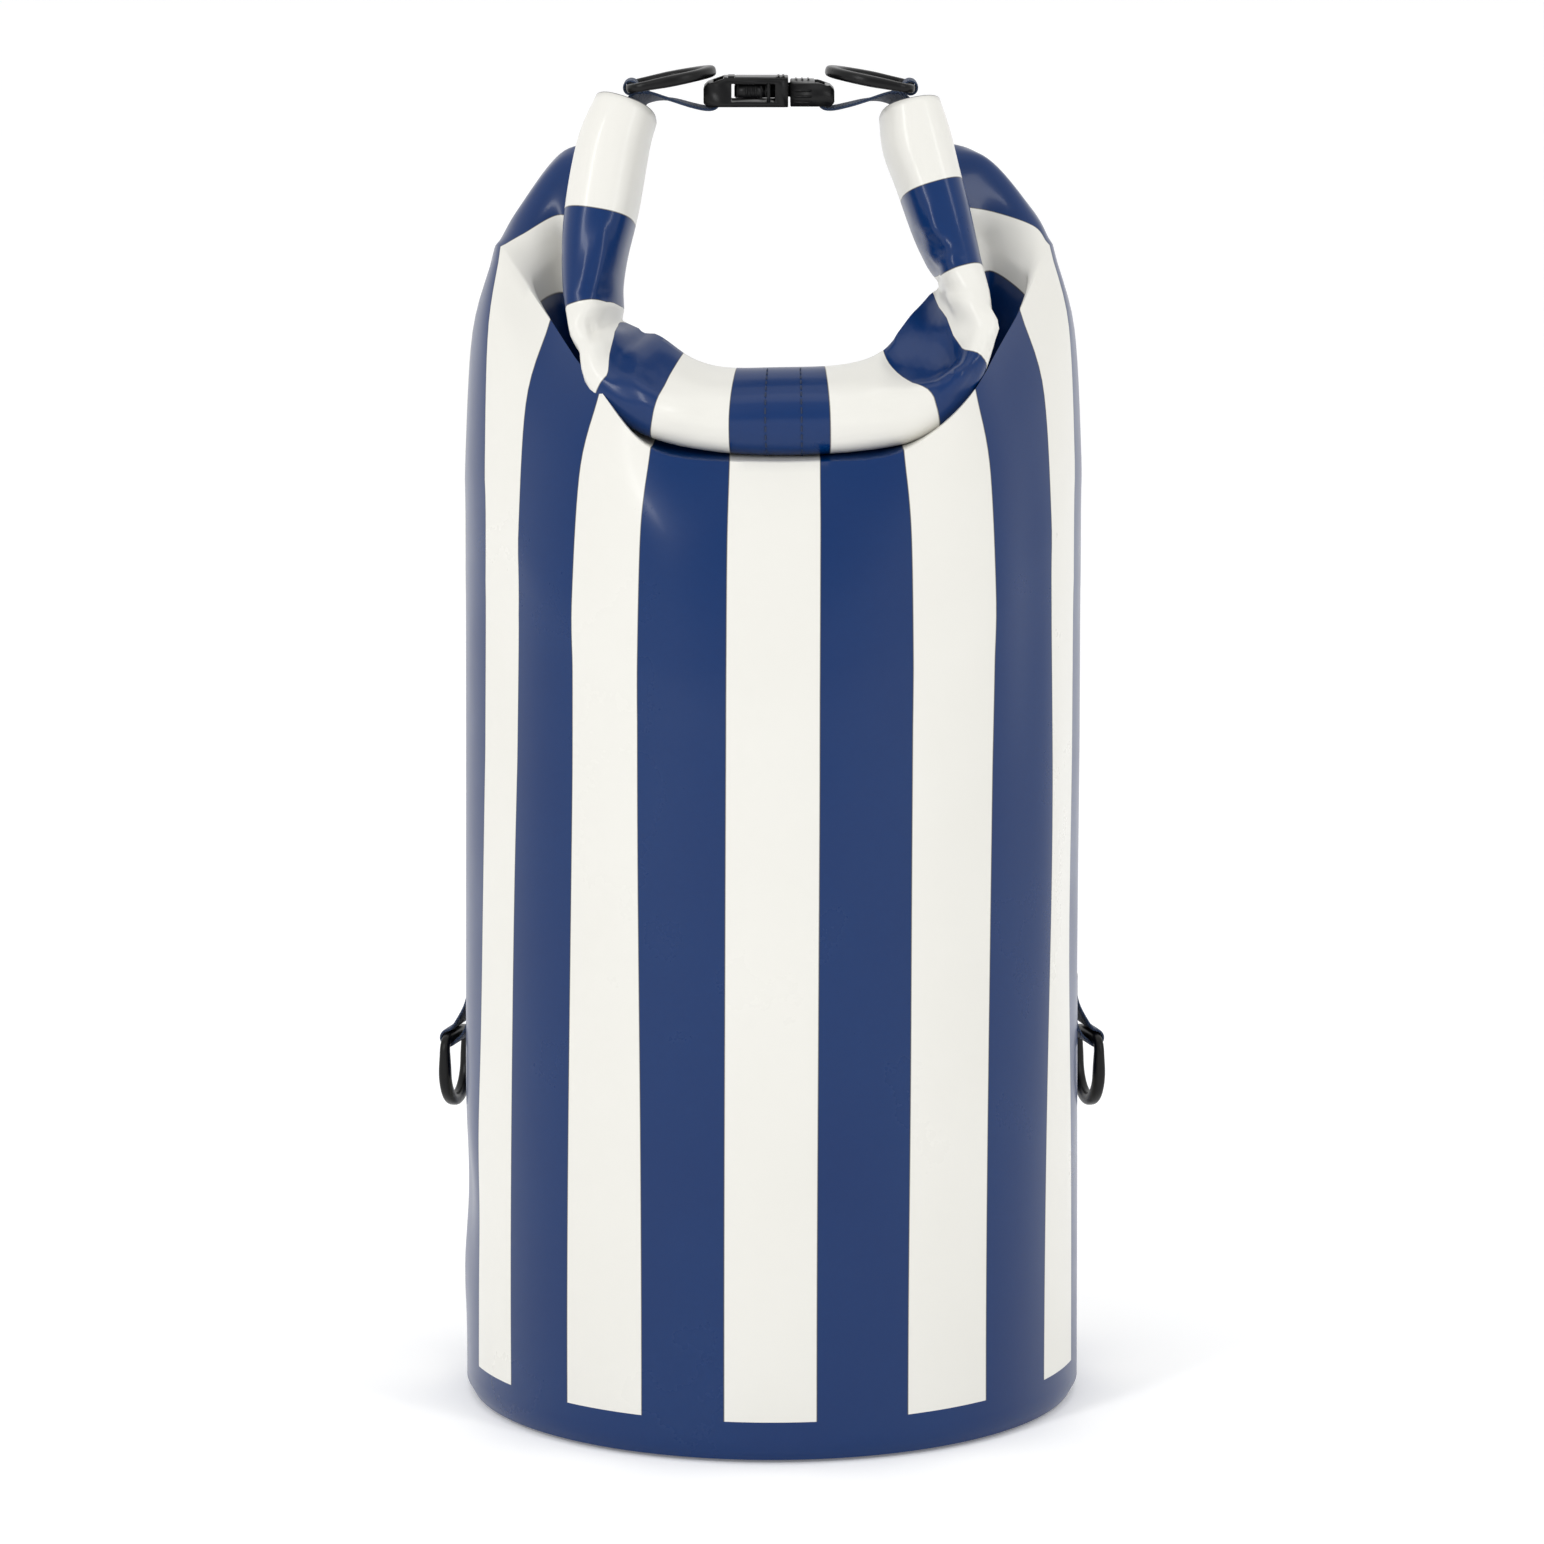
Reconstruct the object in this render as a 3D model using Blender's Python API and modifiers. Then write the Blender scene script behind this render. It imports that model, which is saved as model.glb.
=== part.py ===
"""Roll-top sack: a striped tarpaulin tube whose mouth is rolled down and buckled into a carry loop.

Metres, +Z up. The origin is the centre of the base, on its underside. The front of the sack,
where the roll lies, faces -Y, and the buckle runs along X.
"""
import math

import bmesh
import bpy
import numpy as np
from mathutils import Matrix, Vector

# ---------------------------------------------------------------- driving dimensions
STRIPES = 22
COLUMNS = 2 * STRIPES
TARPAULIN = 0.0012
GAP = 0.0004

BASE_RADIUS = 0.1205
NECK_RADIUS = 0.1188
TAPER_HEIGHT = 0.39
BASE_THICKNESS = 0.0014
BODY_FOOT = BASE_THICKNESS + GAP
BAND_HEIGHT = 0.0125
BAND_THICKNESS = 0.001

# heights where the tube's wall leaves the cylinder, at its front, sides and back
WALL_FRONT = 0.325
WALL_SIDE = 0.405
WALL_BACK = 0.275
WALL_ROWS = 4
NECK_ROWS = 9

# centre line of the rolled mouth, from its left end round the bottom of the U to its right end
ROLL_ROUTE = (
    (-0.0550, -0.038, 0.5045),
    (-0.0624, -0.047, 0.4771),
    (-0.0658, -0.056, 0.4533),
    (-0.0659, -0.064, 0.4370),
    (-0.0630, -0.073, 0.4190),
    (-0.0494, -0.083, 0.4023),
    (-0.0269, -0.088, 0.3972),
    (0.0034, -0.090, 0.3970),
    (0.0329, -0.089, 0.3973),
    (0.0535, -0.083, 0.4000),
    (0.0687, -0.073, 0.4145),
    (0.0726, -0.065, 0.4333),
    (0.0672, -0.055, 0.4588),
    (0.0598, -0.045, 0.4845),
    (0.0512, -0.038, 0.5045),
)
ROLL_SECTIONS = 28
ROLL_SIDES = 20
ROLL_DEPTH = 0.0185
ROLL_WALL = 0.0022
ROLL_HALF_ARM = 0.0125
ROLL_HALF_CORNER = 0.0095
ROLL_HALF_CENTRE = 0.0150
NECK_SETBACK = 0.0042
NECK_HALF_SLIT = 0.0025
STRIP_HALF_WIDTH = 0.011
STRIP_THICKNESS = 0.001

# buckle, lying flat between the roll's ends
BUCKLE_Y = -0.038
SOCKET_X = (-0.0258, 0.0061)
SOCKET_Z = (0.5085, 0.5192)
SOCKET_HALF_WIDTH = 0.0140
CAVITY_X = -0.0154
CAVITY_Z = (0.5100, 0.5176)
CAVITY_HALF_WIDTH = 0.0129
WINDOW_END = 0.0012
PLUG_X = (0.0069, 0.0235)
PLUG_Z = (0.5087, 0.5182)
PLUG_HALF_WIDTH = 0.0136
PLUG_FLAT_HALF_WIDTH = 0.0075
PLUG_SHOULDER_Z = 0.5170
TONGUE_X = -0.0090
TONGUE_HALF_WIDTH = 0.0030
PRONG_Z = (0.5119, 0.5169)
PRONG_PIVOT_X = 0.0055
PRONG_PIVOT_Y = 0.0102
WEB_SLOT = 0.0039
WEB_BAR = 0.0035
WEB_HALF_WIDTH = 0.0100
WEB_THICKNESS = 0.0013

# rings
TOP_WIRE = 0.0016
TOP_RING_HALF_WIDTH = 0.0163
TOP_RING_LENGTH = 0.0300
TOP_BAR_X = (-0.0533, 0.0522)
TOP_BAR_Z = 0.5155
TOP_BOW_Z = 0.5206
SIDE_ANGLE = math.radians(105)
SIDE_WIRE = 0.0019
SIDE_RING_HALF_WIDTH = 0.0140
SIDE_RING_LENGTH = 0.0265
SIDE_BAR_RADIUS = 0.1310
SIDE_BAR_Z = 0.1345
SIDE_LOOP_TOP = 0.1500
PATCH_Z = (0.1180, 0.1660)
PATCH_HALF_ANGLE = math.radians(10.5)

COLOURS = {
    "tarpaulin": ((0.036, 0.074, 0.19), 0.35),
    "collar": ((0.86, 0.84, 0.78), 0.35),
    "webbing": ((0.014, 0.036, 0.085), 0.8),
    "plastic": ((0.012, 0.012, 0.013), 0.4),
    "strip": ((0.7, 0.7, 0.68), 0.5),
}


# ---------------------------------------------------------------- scene helpers
def clear_scene():
    for obj in list(bpy.data.objects):
        bpy.data.objects.remove(obj, do_unlink=True)


def collection(name):
    found = bpy.data.collections.new(name)
    bpy.context.scene.collection.children.link(found)
    return found


def material(node, finish):
    colour, roughness = COLOURS[finish]
    mat = bpy.data.materials.new(node + "_material")
    mat.use_nodes = True
    shader = mat.node_tree.nodes["Principled BSDF"]
    shader.inputs["Base Color"].default_value = (*colour, 1.0)
    shader.inputs["Roughness"].default_value = roughness
    shader.inputs["Metallic"].default_value = 0.0
    return mat


def place(obj, finish):
    """Put a finished sub-part in the sack's collection with a material of its own."""
    for owner in list(obj.users_collection):
        owner.objects.unlink(obj)
    SACK.objects.link(obj)
    obj.data.materials.clear()
    obj.data.materials.append(material(obj.name, finish))
    if obj.type == "MESH":
        obj.data.shade_smooth()
        obj.data.set_sharp_from_angle(angle=math.radians(35))
    return obj


def sheet(name, rows, closed):
    """An open surface through rows of points, closed round each row when asked."""
    rows = [[Vector(p) for p in row] for row in rows]
    count = len(rows[0])
    steps = count if closed else count - 1
    faces = []
    for r in range(len(rows) - 1):
        for c in range(steps):
            d = (c + 1) % count
            faces.append((r * count + c, r * count + d, (r + 1) * count + d, (r + 1) * count + c))
    mesh = bpy.data.meshes.new(name)
    mesh.from_pydata([p for row in rows for p in row], [], faces)
    return bpy.data.objects.new(name, mesh)


def thicken(obj, thickness, offset):
    wall = obj.modifiers.new("wall", "SOLIDIFY")
    wall.thickness = thickness
    wall.offset = offset
    wall.use_even_offset = False
    return obj


def flat_outline(name, outlines, half_depth, placement):
    """A flat shape, drawn in local X and Y, given a depth along local Z and made a mesh."""
    curve = bpy.data.curves.new(name + "_curve", "CURVE")
    curve.dimensions = "2D"
    curve.fill_mode = "BOTH"
    curve.extrude = half_depth
    for outline in outlines:
        spline = curve.splines.new("POLY")
        spline.points.add(len(outline) - 1)
        for point, (x, y) in zip(spline.points, outline):
            point.co = (x, y, 0.0, 1.0)
        spline.use_cyclic_u = True
    drawn = bpy.data.objects.new(name + "_outline", curve)
    drawn.matrix_world = placement
    return curve_to_mesh(drawn, name)


def curve_to_mesh(drawn, name):
    """Weld a curve object's loose caps and return it as a mesh object."""
    bpy.context.scene.collection.objects.link(drawn)
    bpy.context.view_layer.update()
    evaluated = drawn.evaluated_get(bpy.context.evaluated_depsgraph_get())
    mesh = bpy.data.meshes.new_from_object(evaluated)
    welded = bmesh.new()
    welded.from_mesh(mesh)
    bmesh.ops.remove_doubles(welded, verts=welded.verts, dist=1e-6)
    bmesh.ops.recalc_face_normals(welded, faces=welded.faces)
    welded.to_mesh(mesh)
    welded.free()
    obj = bpy.data.objects.new(name, mesh)
    obj.matrix_world = drawn.matrix_world
    bpy.data.objects.remove(drawn, do_unlink=True)
    return obj


def box(name, low, high):
    """A box as a mesh object, from its lowest to its highest corner."""
    size = Vector(high) - Vector(low)
    middle = (Vector(high) + Vector(low)) / 2
    form = bmesh.new()
    bmesh.ops.create_cube(form, size=1.0, matrix=Matrix.Diagonal((*size, 1.0)))
    mesh = bpy.data.meshes.new(name)
    form.to_mesh(mesh)
    form.free()
    obj = bpy.data.objects.new(name, mesh)
    obj.location = middle
    return obj


def combine(obj, tool, operation):
    """Cut a tool out of an object, or join it on; the tool stays as a hidden guide."""
    CUTTERS.objects.link(tool)
    tool.hide_render = True
    tool.display_type = "WIRE"
    step = obj.modifiers.new(tool.name, "BOOLEAN")
    step.operation = operation
    step.solver = "EXACT"
    step.object = tool


def round_edges(obj, width, segments=2):
    soft = obj.modifiers.new("rounded", "BEVEL")
    soft.width = width
    soft.segments = segments
    soft.limit_method = "ANGLE"
    soft.angle_limit = math.radians(50)


# ---------------------------------------------------------------- the roll's centre line
def smooth_route(points, count):
    """Evenly spaced points on a Catmull-Rom curve through the given ones."""
    pts = np.array(points)
    ext = np.vstack([2 * pts[0] - pts[1], pts, 2 * pts[-1] - pts[-2]])
    fine = []
    for i in range(1, len(ext) - 2):
        p0, p1, p2, p3 = ext[i - 1:i + 3]
        for t in np.linspace(0, 1, 16, endpoint=False):
            fine.append(0.5 * (2 * p1 + (p2 - p0) * t + (2 * p0 - 5 * p1 + 4 * p2 - p3) * t ** 2
                               + (3 * p1 - p0 - 3 * p2 + p3) * t ** 3))
    fine = np.array(fine + [pts[-1]])
    length = np.concatenate([[0], np.cumsum(np.linalg.norm(np.diff(fine, axis=0), axis=1))])
    even = np.linspace(0, length[-1], count)
    return np.column_stack([np.interp(even, length, fine[:, k]) for k in range(3)])


ROUTE = smooth_route(ROLL_ROUTE, 161)
TANGENT = np.gradient(ROUTE, axis=0)
TANGENT /= np.linalg.norm(TANGENT, axis=1)[:, None]


def roll_frame(u):
    """Centre, along, front and outward directions of the roll at u, from -1 (left) to 1 (right)."""
    at = (u + 1) / 2 * (len(ROUTE) - 1)
    index = np.arange(len(ROUTE))
    centre = Vector([np.interp(at, index, ROUTE[:, k]) for k in range(3)])
    along = Vector([np.interp(at, index, TANGENT[:, k]) for k in range(3)]).normalized()
    front = Vector((0, -1, 0))
    front = (front - front.dot(along) * along).normalized()
    outward = along.cross(front).normalized()
    return centre, along, front, outward


def roll_half_thickness(u):
    """Thick at the middle, pinched at the U's corners, and full again up the arms."""
    corner = math.exp(-((abs(u) - 0.46) / 0.13) ** 2)
    middle = math.exp(-(u / 0.22) ** 2)
    half = ROLL_HALF_ARM + (ROLL_HALF_CENTRE - ROLL_HALF_ARM) * middle
    return half + (ROLL_HALF_CORNER - half) * corner


# ---------------------------------------------------------------- tarpaulin
def body_radius(z):
    return BASE_RADIUS + (NECK_RADIUS - BASE_RADIUS) * min(z / TAPER_HEIGHT, 1.0)


def body_column(angle):
    """One line of the tube's wall from foot to neck; angle 0 is the front, +90 degrees is +X."""
    front_half = math.cos(angle) > 1e-9
    side_amount = 1 - math.cos(angle) ** 2
    low = WALL_FRONT if front_half else WALL_BACK
    wall_top = low + (WALL_SIDE - low) * side_amount
    outward_xy = Vector((math.sin(angle), -math.cos(angle), 0))
    points = []
    for row in range(WALL_ROWS):
        z = BODY_FOOT + (wall_top - BODY_FOOT) * row / WALL_ROWS
        points.append(outward_xy * body_radius(z) + Vector((0, 0, z)))
    # the flattened neck runs along the back of the roll, its two sheets a narrow slit apart
    turn = math.atan2(math.sin(angle), abs(math.cos(angle)))
    u = turn / (math.pi / 2)
    centre, _, front, outward = roll_frame(u)
    slit = NECK_HALF_SLIT * min(1.0, 3.0 * math.sqrt(max(0.0, 1 - u * u)))
    back = ROLL_DEPTH + NECK_SETBACK + NECK_HALF_SLIT + (-slit if front_half else slit)
    end = centre - front * back
    start = outward_xy * body_radius(wall_top) + Vector((0, 0, wall_top))
    if front_half:
        rise = start + Vector((0, 0, 0.026))
        arrive = end + outward * 0.026
    else:
        rise = start + Vector((0, 0, 0.055))
        arrive = end - front * (0.030 * (1 - side_amount) + 0.004) + outward * 0.014
    for row in range(NECK_ROWS + 1):
        t = row / NECK_ROWS
        s = 1 - t
        points.append(start * s ** 3 + rise * (3 * s * s * t) + arrive * (3 * s * t * t) + end * t ** 3)
    return points


def make_bag_body():
    columns = [body_column(-math.pi + 2 * math.pi * c / COLUMNS) for c in range(COLUMNS)]
    rows = [[column[r] for column in columns] for r in range(WALL_ROWS + NECK_ROWS + 1)]
    place(thicken(sheet("bag_body", rows, closed=True), TARPAULIN, -1.0), "tarpaulin")


def make_base():
    disc = bmesh.new()
    bmesh.ops.create_cone(disc, cap_ends=True, segments=2 * COLUMNS, radius1=BASE_RADIUS, radius2=BASE_RADIUS,
                          depth=BASE_THICKNESS, matrix=Matrix.Translation((0, 0, BASE_THICKNESS / 2)))
    mesh = bpy.data.meshes.new("base_panel")
    disc.to_mesh(mesh)
    disc.free()
    place(bpy.data.objects.new("base_panel", mesh), "tarpaulin")

    inner = BASE_RADIUS + GAP
    outer = inner + BAND_THICKNESS
    profile = [(outer, BAND_HEIGHT), (outer, 0.0), (inner, 0.0), (inner, BAND_HEIGHT)]
    mesh = bpy.data.meshes.new("base_band")
    mesh.from_pydata([(r, 0, z) for r, z in profile], [(0, 1), (1, 2), (2, 3), (3, 0)], [])
    band = bpy.data.objects.new("base_band", mesh)
    turned = band.modifiers.new("turned", "SCREW")
    turned.steps = 2 * COLUMNS
    turned.render_steps = 2 * COLUMNS
    turned.use_merge_vertices = True
    turned.merge_threshold = 0.00001
    place(band, "tarpaulin")


def curved_patch(name, middle, half_angle, low, high, clearance, thickness, steps):
    """A panel bent round the tube's wall, standing a little off it."""
    rows = []
    for z in np.linspace(low, high, 4):
        radius = body_radius(z) + clearance
        angles = np.linspace(middle - half_angle, middle + half_angle, steps)
        rows.append([(radius * math.sin(a), -radius * math.cos(a), z) for a in angles])
    return thicken(sheet(name, rows, closed=False), thickness, 1.0)


def make_rolled_collar():
    rows = []
    for u in np.linspace(-1, 1, ROLL_SECTIONS):
        centre, _, front, outward = roll_frame(u)
        half = roll_half_thickness(u)
        ring = []
        for k in range(ROLL_SIDES):
            a = 2 * math.pi * k / ROLL_SIDES
            deep = math.copysign(abs(math.cos(a)) ** 0.85, math.cos(a)) * ROLL_DEPTH
            wide = math.copysign(abs(math.sin(a)) ** 0.85, math.sin(a)) * half
            ring.append(centre + front * deep - outward * wide)
        rows.append(ring)
    place(thicken(sheet("rolled_collar", rows, closed=True), ROLL_WALL, -1.0), "collar")


def make_stiffener(name, side):
    """A flat strip inside the roll, following its bend."""
    rows = []
    for u in np.linspace(-0.9, 0.9, 25):
        centre, _, front, outward = roll_frame(u)
        middle = centre + outward * side * 0.0016
        rows.append([middle - front * STRIP_HALF_WIDTH, middle + front * STRIP_HALF_WIDTH])
    place(thicken(sheet(name, rows, closed=False), STRIP_THICKNESS, 0.0), "strip")


# ---------------------------------------------------------------- webbing
def ribbon_outline(route, thickness):
    """The closed outline of a ribbon that follows a route in a plane."""
    pts = np.array(route)
    along = np.gradient(pts, axis=0)
    along /= np.linalg.norm(along, axis=1)[:, None]
    side = np.column_stack([-along[:, 1], along[:, 0]]) * thickness / 2
    return [tuple(p) for p in pts + side] + [tuple(p) for p in (pts - side)[::-1]]


def upright_plane(x_axis, y):
    """A plane drawn in world X or a radial direction, and Z, with its depth across it."""
    x_axis = Vector(x_axis).normalized()
    z_axis = x_axis.cross(Vector((0, 0, 1)))
    basis = Matrix((x_axis, Vector((0, 0, 1)), z_axis)).transposed().to_4x4()
    return Matrix.Translation((0, y, 0)) @ basis


def make_straps():
    # each strap leaves its roll end, bends over towards the buckle, and turns up through the web slot
    left = smooth_route(((-0.0572, 0.4965, 0), (-0.0540, 0.5065, 0), (-0.0500, 0.5111, 0), (-0.0450, 0.5116, 0),
                         (-0.0380, 0.5106, 0), (-0.0300, 0.5084, 0), (-0.0250, 0.5074, 0), (-0.0218, 0.5076, 0),
                         (-0.0204, 0.5095, 0), (-0.0203, 0.5130, 0)), 30)[:, :2]
    right = smooth_route(((0.0540, 0.4965, 0), (0.0512, 0.5065, 0), (0.0478, 0.5108, 0), (0.0430, 0.5114, 0),
                          (0.0365, 0.5106, 0), (0.0285, 0.5086, 0), (0.0230, 0.5075, 0), (0.0196, 0.5078, 0),
                          (0.0180, 0.5097, 0), (0.0179, 0.5130, 0)), 30)[:, :2]
    plane = upright_plane((1, 0, 0), BUCKLE_Y)
    for name, route in (("strap_left", left), ("strap_right", right)):
        place(flat_outline(name, [ribbon_outline(route, WEB_THICKNESS)], WEB_HALF_WIDTH, plane), "webbing")


def arc(cx, cy, radius, start, stop, steps):
    return [(cx + radius * math.cos(a), cy + radius * math.sin(a)) for a in np.linspace(start, stop, steps)]


def make_ring_keepers():
    """A fold of webbing round each top ring's bar, with a tail that lies on the strap."""
    plane = upright_plane((1, 0, 0), BUCKLE_Y)
    for name, bar_x, way in (("ring_keeper_left", TOP_BAR_X[0], 1), ("ring_keeper_right", TOP_BAR_X[1], -1)):
        hole_radius = TOP_WIRE + GAP
        outer_radius = hole_radius + 0.0011
        start, stop = math.radians(12), math.radians(318)
        outer = arc(0, 0, outer_radius, start, stop, 18)
        outer += [(0.0066, -0.0026), (0.0066, -0.0014), (0.0045, -0.0006)]
        hole = arc(0, 0, hole_radius, 0, 2 * math.pi * 15 / 16, 16)
        outlines = [[(bar_x + way * x, TOP_BAR_Z + z) for x, z in line] for line in (outer, hole)]
        place(flat_outline(name, outlines, WEB_HALF_WIDTH - 0.001, plane), "webbing")


def make_side_loops():
    """A webbing loop on each patch: down the patch, out round the ring's bar, and back in."""
    for side, name in ((-1, "side_loop_left"), (1, "side_loop_right")):
        radial = Vector((side * math.sin(SIDE_ANGLE), -math.cos(SIDE_ANGLE), 0))
        wall = body_radius(SIDE_BAR_Z) + 0.0030
        hole_radius = SIDE_WIRE + GAP
        reach = SIDE_BAR_RADIUS
        outer = [(wall, SIDE_BAR_Z - 0.0045), (wall, SIDE_LOOP_TOP), (wall + 0.0016, SIDE_LOOP_TOP)]
        outer += [(wall + 0.0030, SIDE_BAR_Z + 0.0085)]
        outer += arc(reach, SIDE_BAR_Z, hole_radius + WEB_THICKNESS, math.radians(70), math.radians(-120), 12)
        hole = arc(reach, SIDE_BAR_Z, hole_radius, 0, 2 * math.pi * 15 / 16, 16)
        plane = upright_plane(radial, 0)
        place(flat_outline(name, [outer, hole], WEB_HALF_WIDTH, plane), "webbing")


# ---------------------------------------------------------------- rings
def ring_points(half_width, length):
    """A D ring's centre line: a straight bar at 0, two legs, and a half-round bow at its length."""
    corner = 0.0035
    straight = length - half_width
    points = []
    for cx, start in ((-(half_width - corner), 180), (half_width - corner, 270)):
        points += [(cx + corner * math.cos(math.radians(a)), corner + corner * math.sin(math.radians(a)))
                   for a in (start, start + 45, start + 90)]
    points += [(half_width * math.cos(a), straight + half_width * math.sin(a))
               for a in np.linspace(0, math.pi, 13)]
    return points


def make_ring(name, half_width, length, wire, across, along, bar_centre):
    """A closed wire ring lying in the plane of two directions, with its origin on its bar."""
    curve = bpy.data.curves.new(name + "_curve", "CURVE")
    curve.dimensions = "3D"
    curve.bevel_depth = wire
    curve.bevel_resolution = 2
    spline = curve.splines.new("POLY")
    points = ring_points(half_width, length)
    spline.points.add(len(points) - 1)
    for point, (v, w) in zip(spline.points, points):
        point.co = (*(Vector(across) * v + Vector(along) * w), 1.0)
    spline.use_cyclic_u = True
    drawn = bpy.data.objects.new(name + "_wire", curve)
    drawn.location = bar_centre
    place(curve_to_mesh(drawn, name), "plastic")


def make_rings():
    for name, bar_x, way in (("top_ring_left", TOP_BAR_X[0], 1), ("top_ring_right", TOP_BAR_X[1], -1)):
        length = TOP_RING_LENGTH
        rise = math.asin((TOP_BOW_Z - TOP_BAR_Z) / length)
        along = (way * math.cos(rise), 0, math.sin(rise))
        make_ring(name, TOP_RING_HALF_WIDTH, length, TOP_WIRE, (0, 1, 0), along, (bar_x, BUCKLE_Y, TOP_BAR_Z))
    for side, name in ((-1, "side_ring_left"), (1, "side_ring_right")):
        radial = Vector((side * math.sin(SIDE_ANGLE), -math.cos(SIDE_ANGLE), 0))
        tangent = radial.cross(Vector((0, 0, 1)))
        centre = radial * SIDE_BAR_RADIUS + Vector((0, 0, SIDE_BAR_Z))
        make_ring(name, SIDE_RING_HALF_WIDTH, SIDE_RING_LENGTH, SIDE_WIRE, tangent, (0, 0, -1), centre)


# ---------------------------------------------------------------- buckle
def side_profile(name, profile, half_width):
    """A solid from its side view in X and Z, as wide as the buckle half."""
    return flat_outline(name, [profile], half_width, upright_plane((1, 0, 0), BUCKLE_Y))


def make_buckle_socket():
    x0, x1 = SOCKET_X
    z0, z1 = SOCKET_Z
    profile = [(x0, z0 + 0.0015), (x0 + 0.0015, z0), (x1, z0), (x1, z1), (x0 + 0.0078, z1), (x0 + 0.0015, z1 - 0.0022),
               (x0, z1 - 0.0036)]
    socket = side_profile("buckle_socket", profile, SOCKET_HALF_WIDTH)
    low_y, high_y = BUCKLE_Y - CAVITY_HALF_WIDTH, BUCKLE_Y + CAVITY_HALF_WIDTH
    combine(socket, box("socket_cavity", (CAVITY_X, low_y, CAVITY_Z[0]), (x1 + 0.01, high_y, CAVITY_Z[1])),
            "DIFFERENCE")
    combine(socket, box("socket_windows", (CAVITY_X, BUCKLE_Y - 0.02, CAVITY_Z[0] + GAP),
                        (WINDOW_END, BUCKLE_Y + 0.02, CAVITY_Z[1] - GAP)), "DIFFERENCE")
    slot = x0 + WEB_BAR
    combine(socket, box("socket_web_slot", (slot, BUCKLE_Y - WEB_HALF_WIDTH - 0.0006, z0 - 0.01),
                        (slot + WEB_SLOT, BUCKLE_Y + WEB_HALF_WIDTH + 0.0006, z1 + 0.01)), "DIFFERENCE")
    place(socket, "plastic")


def make_buckle_plug():
    x0, x1 = PLUG_X
    z0, z1 = PLUG_Z
    profile = [(x0, z0), (x1 - 0.0015, z0), (x1, z0 + 0.0015), (x1, z1 - 0.0036), (x1 - 0.0015, z1 - 0.0022),
               (x1 - 0.0078, z1), (x0, z1)]
    plug = side_profile("buckle_plug", profile, PLUG_HALF_WIDTH)
    wide, flat = PLUG_HALF_WIDTH + 0.001, PLUG_FLAT_HALF_WIDTH
    crown = [(-wide, z0 - 0.001), (wide, z0 - 0.001), (wide, PLUG_SHOULDER_Z), (flat, z1), (-flat, z1),
             (-wide, PLUG_SHOULDER_Z)]
    middle = (x0 + x1) / 2
    combine(plug, flat_outline("plug_crown", [crown], x1 - x0, Matrix.Translation((middle, BUCKLE_Y, 0))
                               @ upright_plane((0, 1, 0), 0)), "INTERSECT")
    combine(plug, box("plug_tongue", (TONGUE_X, BUCKLE_Y - TONGUE_HALF_WIDTH, PRONG_Z[0]),
                      (x0 + 0.002, BUCKLE_Y + TONGUE_HALF_WIDTH, PRONG_Z[1])), "UNION")
    slot = x1 - WEB_BAR
    combine(plug, box("plug_web_slot", (slot - WEB_SLOT, BUCKLE_Y - WEB_HALF_WIDTH - 0.0006, z0 - 0.01),
                      (slot, BUCKLE_Y + WEB_HALF_WIDTH + 0.0006, z1 + 0.01)), "DIFFERENCE")
    place(plug, "plastic")


def make_prong(name, side):
    """A sprung arm with a domed button at its tip, hinged at its root; side is -1 at the front."""
    root, pivot = PRONG_PIVOT_X + 0.001, PRONG_PIVOT_Y
    outline = [(root, pivot - 0.0011), (root, pivot + 0.0011), (-0.0025, 0.0113), (-0.0040, 0.0130), (-0.0060, 0.0133),
               (-0.0105, 0.0133), (-0.0130, 0.0127), (-0.0142, 0.0115), (-0.0142, 0.0104), (-0.0100, 0.0098),
               (-0.0040, 0.0094)]
    middle = (PRONG_Z[0] + PRONG_Z[1]) / 2
    outline = [(x, BUCKLE_Y + side * y) for x, y in outline]
    half_height = (PRONG_Z[1] - PRONG_Z[0]) / 2
    prong = flat_outline(name, [outline], half_height, Matrix.Translation((0, 0, middle)))
    hinge_line = Vector((PRONG_PIVOT_X, BUCKLE_Y + side * PRONG_PIVOT_Y, 0))
    prong.data.transform(Matrix.Translation(-hinge_line))
    prong.location = prong.location + hinge_line
    place(prong, "plastic")


# ---------------------------------------------------------------- assembly
clear_scene()
SACK = collection("roll_top_sack")
CUTTERS = collection("cutters")

make_bag_body()
make_base()
make_rolled_collar()
make_stiffener("mouth_stiffener_front", -1)
make_stiffener("mouth_stiffener_rear", 1)
make_straps()
make_ring_keepers()
make_side_loops()
make_rings()
make_buckle_socket()
make_buckle_plug()
make_prong("buckle_prong_front", -1)
make_prong("buckle_prong_rear", 1)
place(curved_patch("side_patch_left", -SIDE_ANGLE, PATCH_HALF_ANGLE, *PATCH_Z, 0.0008, 0.001, 9), "tarpaulin")
place(curved_patch("side_patch_right", SIDE_ANGLE, PATCH_HALF_ANGLE, *PATCH_Z, 0.0008, 0.001, 9), "tarpaulin")
place(curved_patch("back_seam_tape", math.pi, math.radians(5), BAND_HEIGHT + 0.001, 0.255, 0.0008, 0.0008, 5),
      "tarpaulin")
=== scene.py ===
"""Looks of the roll-top sack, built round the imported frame. Metres, +Z up, front towards -Y."""
import math

import bmesh
import bpy
import numpy as np
from mathutils import Matrix, Vector


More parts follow.
